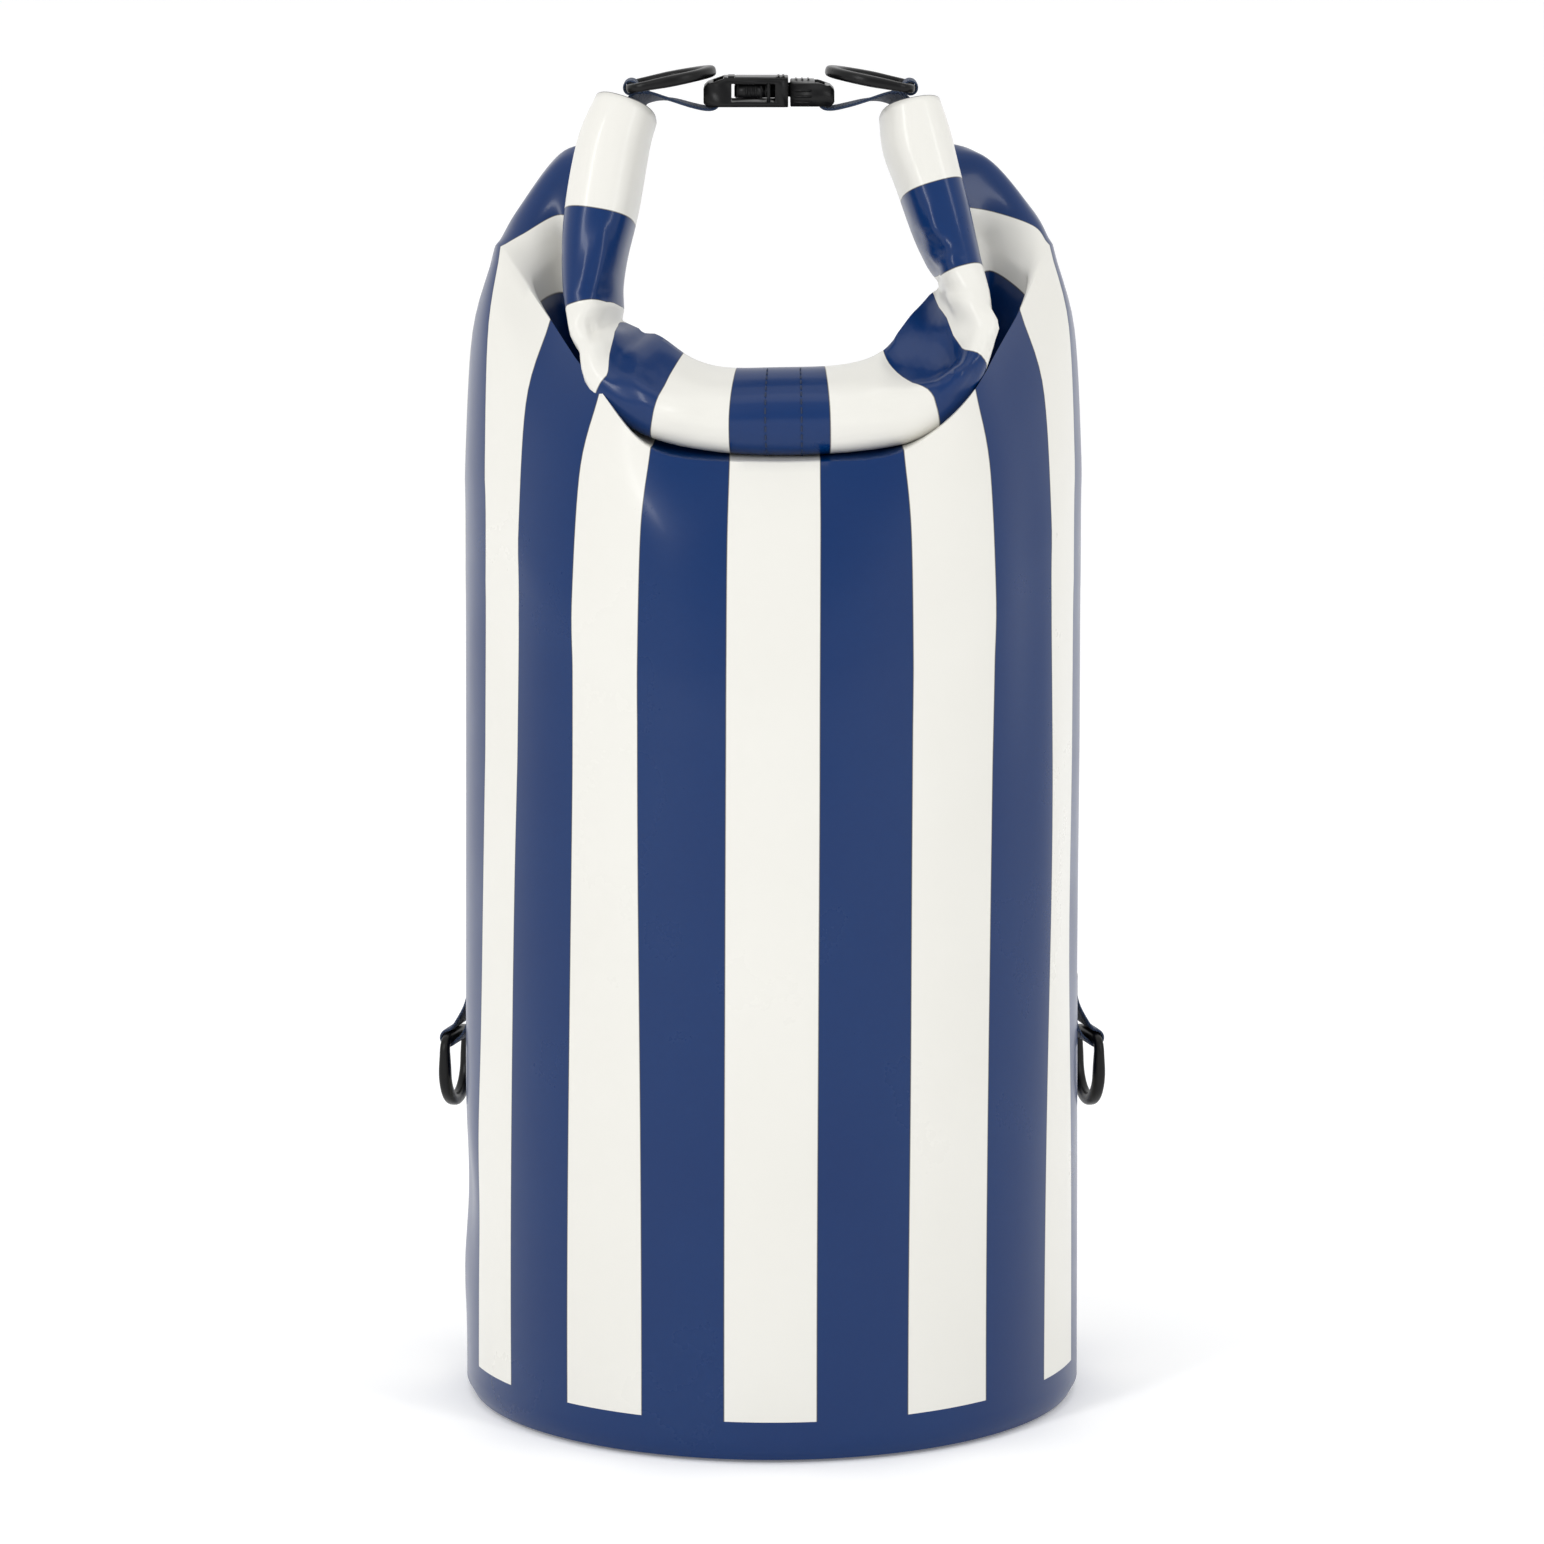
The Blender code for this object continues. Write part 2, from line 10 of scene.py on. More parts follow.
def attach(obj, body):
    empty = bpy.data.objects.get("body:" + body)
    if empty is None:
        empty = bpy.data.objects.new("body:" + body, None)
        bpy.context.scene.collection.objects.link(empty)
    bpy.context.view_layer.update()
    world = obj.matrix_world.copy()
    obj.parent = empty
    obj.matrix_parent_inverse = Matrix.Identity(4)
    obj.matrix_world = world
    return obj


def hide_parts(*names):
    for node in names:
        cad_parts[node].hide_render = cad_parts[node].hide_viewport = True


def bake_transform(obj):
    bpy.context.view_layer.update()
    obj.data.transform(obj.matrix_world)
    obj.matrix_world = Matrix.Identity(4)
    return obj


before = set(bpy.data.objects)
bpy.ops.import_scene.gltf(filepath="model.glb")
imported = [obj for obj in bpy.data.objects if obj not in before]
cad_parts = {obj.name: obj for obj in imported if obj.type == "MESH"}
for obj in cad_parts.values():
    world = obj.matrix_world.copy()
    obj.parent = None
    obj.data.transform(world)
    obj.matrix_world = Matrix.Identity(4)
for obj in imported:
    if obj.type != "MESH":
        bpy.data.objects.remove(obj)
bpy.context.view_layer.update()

# ---------------------------------------------------------------- driving values
STRIPES = 22
# the sheet's grid: columns in a stripe, rows up the wall, up the lean and in the tube, and rows in the roll
PER_STRIPE = 12
COLUMNS = STRIPES * PER_STRIPE
QUARTER = COLUMNS // 4
WALL_ROWS = 55
LEAN_ROWS = 30
TUBE_ROWS = 128
ROLL_ROWS = 112
ROLL_TURNS = 2.35
# the angle on the roll's section at which the back sheet joins it, in degrees
NECK_ANGLE = 158
FOOT_RADIUS = 0.1212
TOP_RADIUS = FOOT_RADIUS - 0.0017
TAPER_HEIGHT = 0.39
STRIPE_WIDTH = 2 * math.pi * (FOOT_RADIUS + TOP_RADIUS) / 2 / STRIPES
COLUMN_STEP = STRIPE_WIDTH / PER_STRIPE
BAND_HEIGHT = 0.0126
HEM_RADIUS = 0.0055
SHEET = 0.0009
WALL_TOP = 0.262
BUCKLE_Y = -0.038
SIDES = ((-1, "left"), (1, "right"))
UP = np.array([0, 0, 1.0])

# centre line of the rolled mouth and the half thickness of its section, from the left end round
# the bottom of the U to the right end
ROLL_ROUTE = (
    (-0.0553, -0.038, 0.5064, 0.0122),
    (-0.06, -0.043, 0.493, 0.0134),
    (-0.0641, -0.048, 0.4714, 0.0136),
    (-0.0668, -0.053, 0.4548, 0.0122),
    (-0.0674, -0.059, 0.4385, 0.01),
    (-0.0645, -0.066, 0.424, 0.0078),
    (-0.0565, -0.076, 0.41, 0.0085),
    (-0.042, -0.084, 0.402, 0.0115),
    (-0.022, -0.088, 0.3982, 0.0128),
    (0.0034, -0.09, 0.3978, 0.014),
    (0.029, -0.089, 0.3985, 0.0135),
    (0.05, -0.084, 0.401, 0.012),
    (0.0645, -0.076, 0.409, 0.0092),
    (0.0712, -0.067, 0.422, 0.008),
    (0.0724, -0.06, 0.436, 0.0084),
    (0.069, -0.055, 0.449, 0.0098),
    (0.0645, -0.05, 0.463, 0.0113),
    (0.059, -0.045, 0.481, 0.0122),
    (0.0548, -0.042, 0.4945, 0.013),
    (0.0521, -0.038, 0.5066, 0.0116),
)
ROLL_CENTRE = 9
# where the edges of the roll's stripes lie along it, from its centre, in metres
EDGES_LEFT = (0.0, 0.0173, 0.0425, 0.0605, 0.0925, 0.13)
EDGES_RIGHT = (0.0, 0.0173, 0.0515, 0.071, 0.1085, 0.144)


def run_length(points):
    """How far along a line of points each of them lies."""
    return np.concatenate([[0], np.cumsum(np.linalg.norm(np.diff(points, axis=0), axis=1))])


def sample(where, knots, values):
    """Rows of values, read off between knots."""
    return np.stack([np.interp(where, knots, values[:, k]) for k in range(values.shape[1])], axis=-1)


def signed_power(x, power):
    return np.sign(x) * np.abs(x) ** power


def smooth_route(points, count):
    """Evenly spaced points on a Catmull-Rom curve through the given ones."""
    pts = np.array(points, float)
    ext = np.vstack([2 * pts[0] - pts[1], pts, 2 * pts[-1] - pts[-2]])
    t = np.linspace(0, 1, 24, endpoint=False)[:, None]
    fine = []
    for i in range(1, len(ext) - 2):
        p0, p1, p2, p3 = ext[i - 1:i + 3]
        fine.append(0.5 * (2 * p1 + (p2 - p0) * t + (2 * p0 - 5 * p1 + 4 * p2 - p3) * t ** 2
                           + (3 * p1 - p0 - 3 * p2 + p3) * t ** 3))
    fine = np.vstack(fine + [pts[-1:]])
    length = run_length(fine[:, :3])
    return sample(np.linspace(0, length[-1], count), length, fine)


def unit(v):
    return v / np.maximum(np.linalg.norm(v, axis=-1, keepdims=True), 1e-12)


def bump(x, centre, width):
    return np.exp(-((x - centre) / width) ** 2)


def smooth_step(x):
    x = np.clip(x, 0, 1)
    return x * x * (3 - 2 * x)


# ---------------------------------------------------------------- the roll's frame
# creases in the roll's outer skin: a line from (distance along, angle) to (distance along, angle),
# the half width of its slopes, and its height, which is negative for a groove
CREASES = (
    (-0.086, 150, -0.08, 30, 0.0085, -0.0032),
    (-0.08, 30, -0.073, -50, 0.008, -0.0024),
    (-0.07, 120, -0.066, 40, 0.008, -0.0014),
    (-0.096, 60, -0.0905, -10, 0.006, -0.0016),
    (-0.052, 60, -0.033, 25, 0.008, 0.0016),
    (-0.047, 75, -0.04, 40, 0.007, -0.001),
    (0.048, 100, 0.068, 64, 0.009, -0.0036),
    (0.07, 62, 0.08, 40, 0.008, -0.0012),
    (0.035, 62, 0.062, 34, 0.007, 0.0024),
    (0.062, 34, 0.084, -22, 0.008, 0.0036),
    (0.095, 60, 0.087, -10, 0.007, 0.0022),
    (0.108, 100, 0.118, 30, 0.007, -0.002),
    (0.118, 30, 0.126, 75, 0.006, -0.0012),
    (0.116, 60, 0.112, 10, 0.004, 0.0016),
    (0.133, 20, 0.12, 25, 0.004, 0.0008),
    (-0.119, 22, -0.096, 32, 0.0035, 0.0009),
    (-0.12, 12, -0.1, 5, 0.0035, 0.0008),
)
# metres of skin to a radian round the section, for measuring the creases
ARC_SCALE = 0.015
# the section's outline: 1 would be an ellipse, smaller powers square it off
SECTION_POWER = 0.78
# half the depth of the section from front to rear, its tilt in the middle and in the arms, in degrees,
# and where along the roll its arms start and how far it takes the tilt to change
SECTION_DEPTH = 0.0185
MIDDLE_TILT, ARM_TILT = 24, 8
ARM_START, ARM_REACH = 0.055, 0.06
# how far the cloth's lines run askew on the roll's inner side, by distance along the roll
SKEW_AT = (-0.13, -0.0925, -0.0605, -0.0425, -0.03, 0.03, 0.0515, 0.071, 0.1085, 0.13)
SKEW = (0, 0, -0.0235, 0, 0, 0, -0.008, 0.016, 0.002, 0)


class Roll:
    """The rolled mouth: its centre line, and the size and tilt of its section along it."""

    def __init__(self):
        path = smooth_route(ROLL_ROUTE, 401)
        self.line, self.half = path[:, :3], path[:, 3]
        self.length = run_length(self.line)
        middle = np.array(ROLL_ROUTE[ROLL_CENTRE][:3])
        self.length -= self.length[np.argmin(np.linalg.norm(self.line - middle, axis=1))]
        along = unit(np.gradient(self.line, axis=0))
        front = np.array([0.0, -1.0, 0.0])
        self.front = unit(front - along * (along @ front)[:, None])
        self.outward = np.cross(along, self.front)

    def place_of(self, across):
        """Distance along the roll for a distance across the flat mouth, both from the centre."""
        edges = np.concatenate([[0], (np.arange(5) + 0.5) * STRIPE_WIDTH, [STRIPES / 4 * STRIPE_WIDTH]])
        size = np.abs(across)
        left = np.interp(size, edges, np.append(EDGES_LEFT, -self.length[0]))
        right = np.interp(size, edges, np.append(EDGES_RIGHT, self.length[-1]))
        return np.where(across < 0, -left, right)

    def skin(self, where, angle):
        """Height of the creases over the plain section."""
        turn = (np.degrees(angle) + 180) % 360 - 180
        rise = np.zeros(np.broadcast(where, turn).shape)
        for s0, a0, s1, a1, width, height in CREASES:
            dx, dy = s1 - s0, math.radians(a1 - a0) * ARC_SCALE
            px, py = where - s0, np.radians(turn - a0) * ARC_SCALE
            t = np.clip((px * dx + py * dy) / (dx * dx + dy * dy), 0, 1)
            away = np.hypot(px - t * dx, py - t * dy)
            near = np.clip(1 - away / width, 0, 1)
            rise = rise + height * (0.85 * near + 0.15 * smooth_step(near))
        return rise

    def point(self, where, angle, scale=1.0, lift=0.0):
        """A point of the section: angle 0 is the front, 90 the inner side, 180 the rear."""
        where, angle = np.broadcast_arrays(np.asarray(where, float), np.asarray(angle, float))
        turn = np.degrees(angle) % 360
        inner = smooth_step(1 - np.abs(turn - 114) / 88)
        where = where + np.interp(where, SKEW_AT, SKEW) * inner
        arm = np.clip((np.abs(where) - ARM_START) / ARM_REACH, 0, 1)
        corner = bump(where, -0.082, 0.02) + bump(where, 0.086, 0.022)
        deep = SECTION_DEPTH + 0.001 * corner
        thick = np.interp(where, self.length, self.half)
        tilt = np.radians(MIDDLE_TILT * (1 - arm) + ARM_TILT * arm)
        frames = (self.line, self.front, self.outward)
        centre, front, outward = (sample(where, self.length, rows) for rows in frames)
        c, s = np.cos(tilt)[..., None], np.sin(tilt)[..., None]
        depth_way = front * c + outward * s
        inner_way = front * s - outward * c
        ca, sa = np.cos(angle), np.sin(angle)
        rise = self.skin(where, angle)
        rise = lift + np.where(lift < 0, np.minimum(rise, 0), rise)
        across = signed_power(ca, SECTION_POWER) * (deep * scale) + ca * rise
        up = signed_power(sa, SECTION_POWER) * (thick * scale) + sa * rise
        # in the corners of the U the sheet stands up behind the roll as a web
        web = 0.0105 * bump(where, -0.066, 0.025) + 0.021 * bump(where, 0.076, 0.028)
        web = web * np.clip(1 - np.abs(turn - 128) / 62, 0, 1) * scale
        return centre + depth_way * across[..., None] + inner_way * up[..., None] \
            + web[..., None] * np.array([0.0, 0.35, 0.95])


ROLL = Roll()


# ---------------------------------------------------------------- the sack's sheet
# Where the front sheet goes at the top, by stripe from the front centre to the side fold: the ridge
# or crease where it turns, then two points in the hollow behind it, on the way to the roll.
STATIONS = np.array([0.0, 0.5, 1.5, 2.5, 3.0, 3.5, 4.0, 4.5, 5.0, 5.5])
TURN_LEFT = np.array((
    ((0.003, -0.106, 0.38), (0.002, -0.09, 0.383), (0.001, -0.074, 0.389)),
    ((-0.016, -0.106, 0.3805), (-0.016, -0.09, 0.383), (-0.016, -0.074, 0.389)),
    ((-0.0453, -0.104, 0.385), (-0.044, -0.088, 0.386), (-0.042, -0.07, 0.392)),
    ((-0.0641, -0.0935, 0.4059), (-0.064, -0.072, 0.398), (-0.0615, -0.05, 0.403)),
    ((-0.0738, -0.079, 0.4168), (-0.0735, -0.056, 0.398), (-0.07, -0.036, 0.402)),
    ((-0.0834, -0.061, 0.429), (-0.0888, -0.044, 0.4345), (-0.08, -0.024, 0.4365)),
    ((-0.0948, -0.042, 0.443), (-0.09, -0.031, 0.4475), (-0.079, -0.018, 0.452)),
    ((-0.1042, -0.023, 0.4545), (-0.0953, -0.021, 0.4587), (-0.082, -0.019, 0.4655)),
    ((-0.1066, -0.008, 0.452), (-0.0972, -0.01, 0.4665), (-0.082, -0.011, 0.4835)),
    ((-0.1075, 0.004, 0.4485), (-0.098, 0.000, 0.4665), (-0.081, -0.002, 0.4885)),
))
TURN_RIGHT = np.array((
    ((0.003, -0.106, 0.38), (0.002, -0.09, 0.383), (0.001, -0.074, 0.389)),
    ((0.018, -0.106, 0.3805), (0.018, -0.09, 0.383), (0.018, -0.074, 0.389)),
    ((0.049, -0.104, 0.384), (0.048, -0.088, 0.386), (0.046, -0.07, 0.392)),
    ((0.0761, -0.0935, 0.4063), (0.0755, -0.072, 0.399), (0.0735, -0.05, 0.404)),
    ((0.0846, -0.0775, 0.42), (0.085, -0.056, 0.401), (0.081, -0.036, 0.406)),
    ((0.0937, -0.058, 0.4325), (0.0965, -0.042, 0.4375), (0.084, -0.024, 0.445)),
    ((0.1, -0.04, 0.4443), (0.095, -0.03, 0.449), (0.082, -0.018, 0.456)),
    ((0.1065, -0.0205, 0.4548), (0.1004, -0.018, 0.4616), (0.085, -0.018, 0.4665)),
    ((0.1083, -0.006, 0.452), (0.1004, -0.008, 0.4665), (0.083, -0.011, 0.485)),
    ((0.1085, 0.004, 0.4502), (0.099, 0.000, 0.4668), (0.0795, -0.002, 0.488)),
))
# points in the list that leads one line of cloth from the wall to the roll
KEYS = 10
# stripes from the front centre to the side fold, and to the back seam
FOLD_STRIPE = STRIPES / 4
SEAM_STRIPE = STRIPES / 2


def hermite(x, knots, values):
    """Smooth values between knots, with no overshoot beyond what neighbouring slopes give."""
    slopes = np.gradient(values, knots, axis=0)
    i = int(np.clip(np.searchsorted(knots, x) - 1, 0, len(knots) - 2))
    h = knots[i + 1] - knots[i]
    t = (x - knots[i]) / h
    return ((2 * t ** 3 - 3 * t ** 2 + 1) * values[i] + (t ** 3 - 2 * t ** 2 + t) * h * slopes[i]
            + (-2 * t ** 3 + 3 * t ** 2) * values[i + 1] + (t ** 3 - t ** 2) * h * slopes[i + 1])


def body_radius(z):
    return FOOT_RADIUS + (TOP_RADIUS - FOOT_RADIUS) * np.minimum(np.maximum(z, 0) / TAPER_HEIGHT, 1.0)


# how far each stripe edge is turned from its even place round the wall, in degrees, low down and high up,
# by stripes from the front centre
SHIFT_AT = (-11, -8.5, -7.5, -6.5, -5.5, -4.5, -3.5, -2.5, -1.5, -0.5, 0, 0.5, 1.5, 2.5, 3.5, 4.5, 5.5, 6.5, 11)
SHIFT_LOW = (0, 0, 0, 0, 0, 2.2, 0.8, 0.5, 0.4, -0.5, -0.2, -0.1, 0.7, 1.8, 3.4, 2.5, 0, 0, 0)
SHIFT_HIGH = (0, 0.8, 1.8, 3.4, 5.4, 8.0, 4.1, 2.5, -0.3, 0, 0.2, 0.5, 1.7, 3.3, 5.4, 3.3, 0, 0, 0)
# soft hollows and swellings of the wall: angle and height of the middle, reach in both, and height
SWELLS = (
    (-82, 0.082, 9, 0.022, -0.002), (-74, 0.105, 7, 0.035, 0.0009), (-88, 0.05, 6, 0.018, 0.0008),
    (80, 0.18, 9, 0.06, -0.0012), (62, 0.235, 7, 0.09, 0.0012), (-58, 0.3, 8, 0.06, -0.0013),
    (-38, 0.33, 9, 0.035, 0.001), (44, 0.325, 9, 0.035, 0.0011), (55, 0.33, 6, 0.06, -0.0014),
    (-20, 0.235, 13, 0.08, 0.0008), (22, 0.14, 14, 0.07, 0.0008), (6, 0.3, 12, 0.03, -0.0008),
    (135, 0.19, 16, 0.06, 0.0014), (-140, 0.16, 15, 0.08, 0.0014), (165, 0.12, 12, 0.05, -0.001),
    (-115, 0.26, 10, 0.05, -0.0014), (112, 0.25, 10, 0.06, -0.0014), (-160, 0.23, 14, 0.045, -0.0012),
)


def wall_relief(angle, z):
    turn = (math.degrees(angle) + 180) % 360 - 180
    flutes = 0.00035 * math.sin(7 * angle + 5 * z + 0.6) + 0.0003 * math.sin(13 * angle - 8 * z + 2.1)
    rise = flutes * math.sin(min(z / 0.3, 1) * math.pi * 0.5)
    for at, height, wide, tall, depth in SWELLS:
        away = (turn - at + 180) % 360 - 180
        rise += depth * math.exp(-(away / wide) ** 2 - ((z - height) / tall) ** 2)
    return rise * min(max((z - 0.008) / 0.03, 0.0), 1.0)


def turned(angle, z):
    """The wall angle of a line of the cloth: its even place and the small shift of its stripe."""
    turn = (angle + math.pi) % (2 * math.pi) - math.pi
    stripe = turn * STRIPES / (2 * math.pi)
    low, high = np.interp(stripe, SHIFT_AT, SHIFT_LOW), np.interp(stripe, SHIFT_AT, SHIFT_HIGH)
    return turn + math.radians(low + (high - low) * smooth_step((z - 0.03) / 0.33))


def wall_point(angle, z):
    angle = turned(angle, z)
    out = np.array([math.sin(angle), -math.cos(angle), 0.0])
    return out * (body_radius(z) + wall_relief(angle, z)) + np.array([0, 0, z])


def front_keys(angle, side, stripe):
    """Where one line of the front half goes, from the wall to the roll's rear."""
    turns = TURN_LEFT if side < 0 else TURN_RIGHT
    turn, low, high = (hermite(stripe, STATIONS, turns[:, k]) for k in range(3))
    where = ROLL.place_of(np.array(side * stripe * STRIPE_WIDTH))
    rear = 184 - (184 - NECK_ANGLE) * smooth_step((stripe - 4.6) / 0.9)
    end = ROLL.point(where, math.radians(rear), 1.0, 0.003)
    lean = wall_point(angle, turn[2] - 0.03)
    lean = lean + (turn - wall_point(angle, turn[2])) * 0.26
    before = turn + (lean - turn) * 0.14
    after = turn + (low - turn) * 0.22
    lower = [wall_point(angle, turn[2] - drop) for drop in (0.105, 0.078)]
    return np.array(lower + [lean, before, turn, after, low, high, high + (end - high) * 0.55, end])


def back_keys(angle, side, stripe):
    """Where one line of the back half goes, from the wall up over the slope to the roll."""
    across = (SEAM_STRIPE - stripe) * STRIPE_WIDTH
    where = ROLL.place_of(np.array(side * across))
    back = min((stripe - FOLD_STRIPE) / FOLD_STRIPE, 1.0)
    end = ROLL.point(where, math.radians(NECK_ANGLE), 1.0, 0.0)
    top = 0.385 - 0.115 * back ** 1.2
    hip = wall_point(angle, top + 0.035)
    hip[:2] *= 0.95
    slope = hip + (end - hip) * 0.52 + np.array([0, 0.01 * back, 0.012 * back])
    near = end + (slope - end) * 0.3 + np.array([0, 0.002, 0.004 * back])
    lower = [wall_point(angle, top + rise) for rise in (-0.04, -0.01, 0.012)]
    return np.array(lower + [hip, hip + (slope - hip) * 0.35, slope, slope + (near - slope) * 0.5, near,
                             near + (end - near) * 0.5, end])


def column_keys(angle):
    side = 1 if math.sin(angle) >= 0 else -1
    stripe = abs(math.atan2(math.sin(angle), math.cos(angle))) * STRIPES / (2 * math.pi)
    if stripe <= FOLD_STRIPE:
        return front_keys(angle, side, stripe)
    # behind the side fold, the fold's own line is carried round and mixed into the back's
    fold_angle = side * math.pi / 2
    carried = wall_point(angle, 0.4) - wall_point(fold_angle, 0.4)
    fold = front_keys(fold_angle, side, FOLD_STRIPE) + carried * np.linspace(1, 0.1, KEYS)[:, None]
    drop = 0.03 * smooth_step((stripe - FOLD_STRIPE) / 1.2)
    fold[4:9, 2] -= drop * np.array([1, 1, 0.9, 0.55, 0.25])
    mix = smooth_step((stripe - FOLD_STRIPE) / 2.3)
    back = back_keys(angle, side, stripe)
    keys = fold * (1 - mix) + back * mix
    keys[-1] = back[-1]
    return keys


def tube_grid():
    """The tube as a grid of rows from under its foot to the neck, and columns round it."""
    heights = np.linspace(HEM_RADIUS, WALL_TOP, WALL_ROWS)
    grid = np.zeros((TUBE_ROWS, COLUMNS, 3))
    for j in range(COLUMNS):
        angle = 2 * math.pi * j / COLUMNS
        out = wall_point(angle, 0.0) / FOOT_RADIUS
        base = FOOT_RADIUS - HEM_RADIUS
        hem = [out * (base - 0.006) + np.array([0, 0, SHEET])]
        for a in (0.0, 0.62):
            height = HEM_RADIUS * (1 - math.cos(a)) + SHEET * (1 - a)
            hem.append(out * (base + HEM_RADIUS * math.sin(a)) + np.array([0, 0, height]))
        lower = [wall_point(angle, z) for z in heights]
        keys = column_keys(angle)
        start, turn = lower[-1], keys[4]
        keys = keys[keys[:, 2] > start[2] + 0.004]
        path = smooth_route(np.vstack([lower[-2], start, keys]), 400)
        path = path[np.argmin(np.linalg.norm(path - start, axis=1)):]
        steps = run_length(path)
        bend = steps[np.argmin(np.linalg.norm(path - turn, axis=1))]
        beyond = TUBE_ROWS - len(hem) - len(lower) - LEAN_ROWS
        leaning = np.linspace(0, bend, LEAN_ROWS + 1)[1:]
        even = np.concatenate([leaning, np.linspace(bend, steps[-1], beyond + 1)[1:]])
        grid[:, j] = np.vstack([hem, lower, sample(even, steps, path)])
    return grid


def roll_grid():
    """The sheet's last stretch, from the neck over the roll's top and front and into its core."""
    columns = np.arange(QUARTER, 3 * QUARTER + 1)
    where = ROLL.place_of(-(columns - 2 * QUARTER) * COLUMN_STEP)
    grid = np.zeros((ROLL_ROWS, len(columns), 3))
    for r in range(ROLL_ROWS):
        wound = (r + 1) / ROLL_ROWS * ROLL_TURNS
        angle = math.radians(NECK_ANGLE) - 2 * math.pi * wound
        # after its first turn, nearly, the sheet winds inwards
        shrink = max(0.0, wound - 0.72)
        grid[r] = ROLL.point(where, np.full(where.shape, angle), 1.0 - 0.17 * shrink, -0.001 * shrink)
    return grid


# how the cloth settles: rounds, rows held at the foot and at the neck, the share of an error in stretch
# and in shear that each round takes out, the smoothing, the pull back to the drawn shape everywhere, on
# the wall and at the neck, and how far air pushes it out in each round
ROUNDS = 110
HELD_FOOT, HELD_NECK = 6, 2
STRETCH, SHEAR, SMOOTHING = 0.7, 0.15, 0.16
PULL, WALL_PULL, NECK_PULL = 0.03, 0.25, 0.09
SWELLING = 0.00002


def settle(grid):
    """Relax the tube as cloth: it keeps its cut size, resists shear and bending, and swells a little."""
    rows, cols = grid.shape[:2]
    spots = grid.copy()
    rng = np.random.default_rng(7)
    around = np.linalg.norm(np.roll(grid, -1, axis=1) - grid, axis=2)
    level = np.clip((np.arange(rows) - WALL_ROWS + 8) / 20, 0, 1)[:, None]
    near_neck = np.clip((np.arange(rows) - rows + 40) / 22, 0, 1)[:, None]
    slack = np.minimum(np.maximum(around, COLUMN_STEP * 0.985), around * 1.012)
    rest_u = around * (1 - level) + slack * level
    rest_u = rest_u * (1 - near_neck) + around * near_neck
    rest_v = np.linalg.norm(np.diff(grid, axis=0), axis=2) * 1.004
    free = np.ones((rows, 1, 1))
    free[:HELD_FOOT] = 0
    free[-HELD_NECK:] = 0
    free_all = np.broadcast_to(free, grid.shape)
    waves = rng.normal(size=(rows // 4 + 2, cols // 4 + 1))
    fine = np.repeat(np.repeat(waves, 4, axis=0)[:rows], 4, axis=1)[:, :cols]
    for _ in range(3):
        fine = (fine + np.roll(fine, 1, 1) + np.roll(fine, -1, 1)) / 3
        fine[1:-1] = (fine[:-2] + fine[1:-1] + fine[2:]) / 3

    def normals():
        du = np.roll(spots, -1, axis=1) - np.roll(spots, 1, axis=1)
        dv = np.gradient(spots, axis=0)
        return unit(np.cross(du, dv))

    spots = spots + normals() * (fine[..., None] * 0.0005) * free * level[..., None]

    def pull(a, b, rest, stiff):
        """Move two sets of points towards their rest distance; a and b are index pairs."""
        gap = spots[b] - spots[a]
        size = np.linalg.norm(gap, axis=-1)
        shift = gap * ((size - rest) / np.maximum(size, 1e-9) * 0.5 * stiff)[..., None]
        spots[a] += shift * free_all[a]
        spots[b] -= shift * free_all[b]

    every, onward = np.arange(cols), (np.arange(cols) + 1) % cols
    after = np.roll(grid, -1, axis=1)
    falling = np.linalg.norm(after[1:] - grid[:-1], axis=2)
    rising = np.linalg.norm(grid[1:] - after[:-1], axis=2)
    homing = PULL + WALL_PULL * (1 - level[..., None]) + NECK_PULL * near_neck[..., None]
    for turn in range(ROUNDS):
        for first in (0, 1):
            even = every[first::2]
            pull(np.s_[:, even], np.s_[:, onward[even]], rest_u[:, even], STRETCH)
        for first in (0, 1):
            lines = np.arange(first, rows - 1, 2)
            pull(np.s_[lines], np.s_[lines + 1], rest_v[lines], STRETCH)
        for first in (0, 1):
            lines = np.arange(first, rows - 1, 2)
            low, high = lines[:, None], lines[:, None] + 1
            pull(np.s_[low, every[None]], np.s_[high, onward[None]], falling[lines], SHEAR)
            pull(np.s_[low, onward[None]], np.s_[high, every[None]], rising[lines], SHEAR)
        smooth = (np.roll(spots, 1, axis=1) + np.roll(spots, -1, axis=1)) / 2 - spots
        spots += smooth * SMOOTHING * free
        spots += (grid - spots) * homing * free
        if turn < ROUNDS * 0.7:
            spots += normals() * SWELLING * free * level[..., None]
    return spots


# how much of the sheet lies under the foot, and the length of cloth in one row of the roll
UNDER_FOOT = 0.0125
ROLL_STEP = 0.0033


def ring_faces(start, rings, around, closed=False):
    """Quads between rings of points that follow each other in a mesh's list of points."""
    return [(start + i * around + j, start + i * around + (j + 1) % around,
             start + (i + 1) % rings * around + (j + 1) % around, start + (i + 1) % rings * around + j)
            for i in range(rings if closed else rings - 1) for j in range(around)]


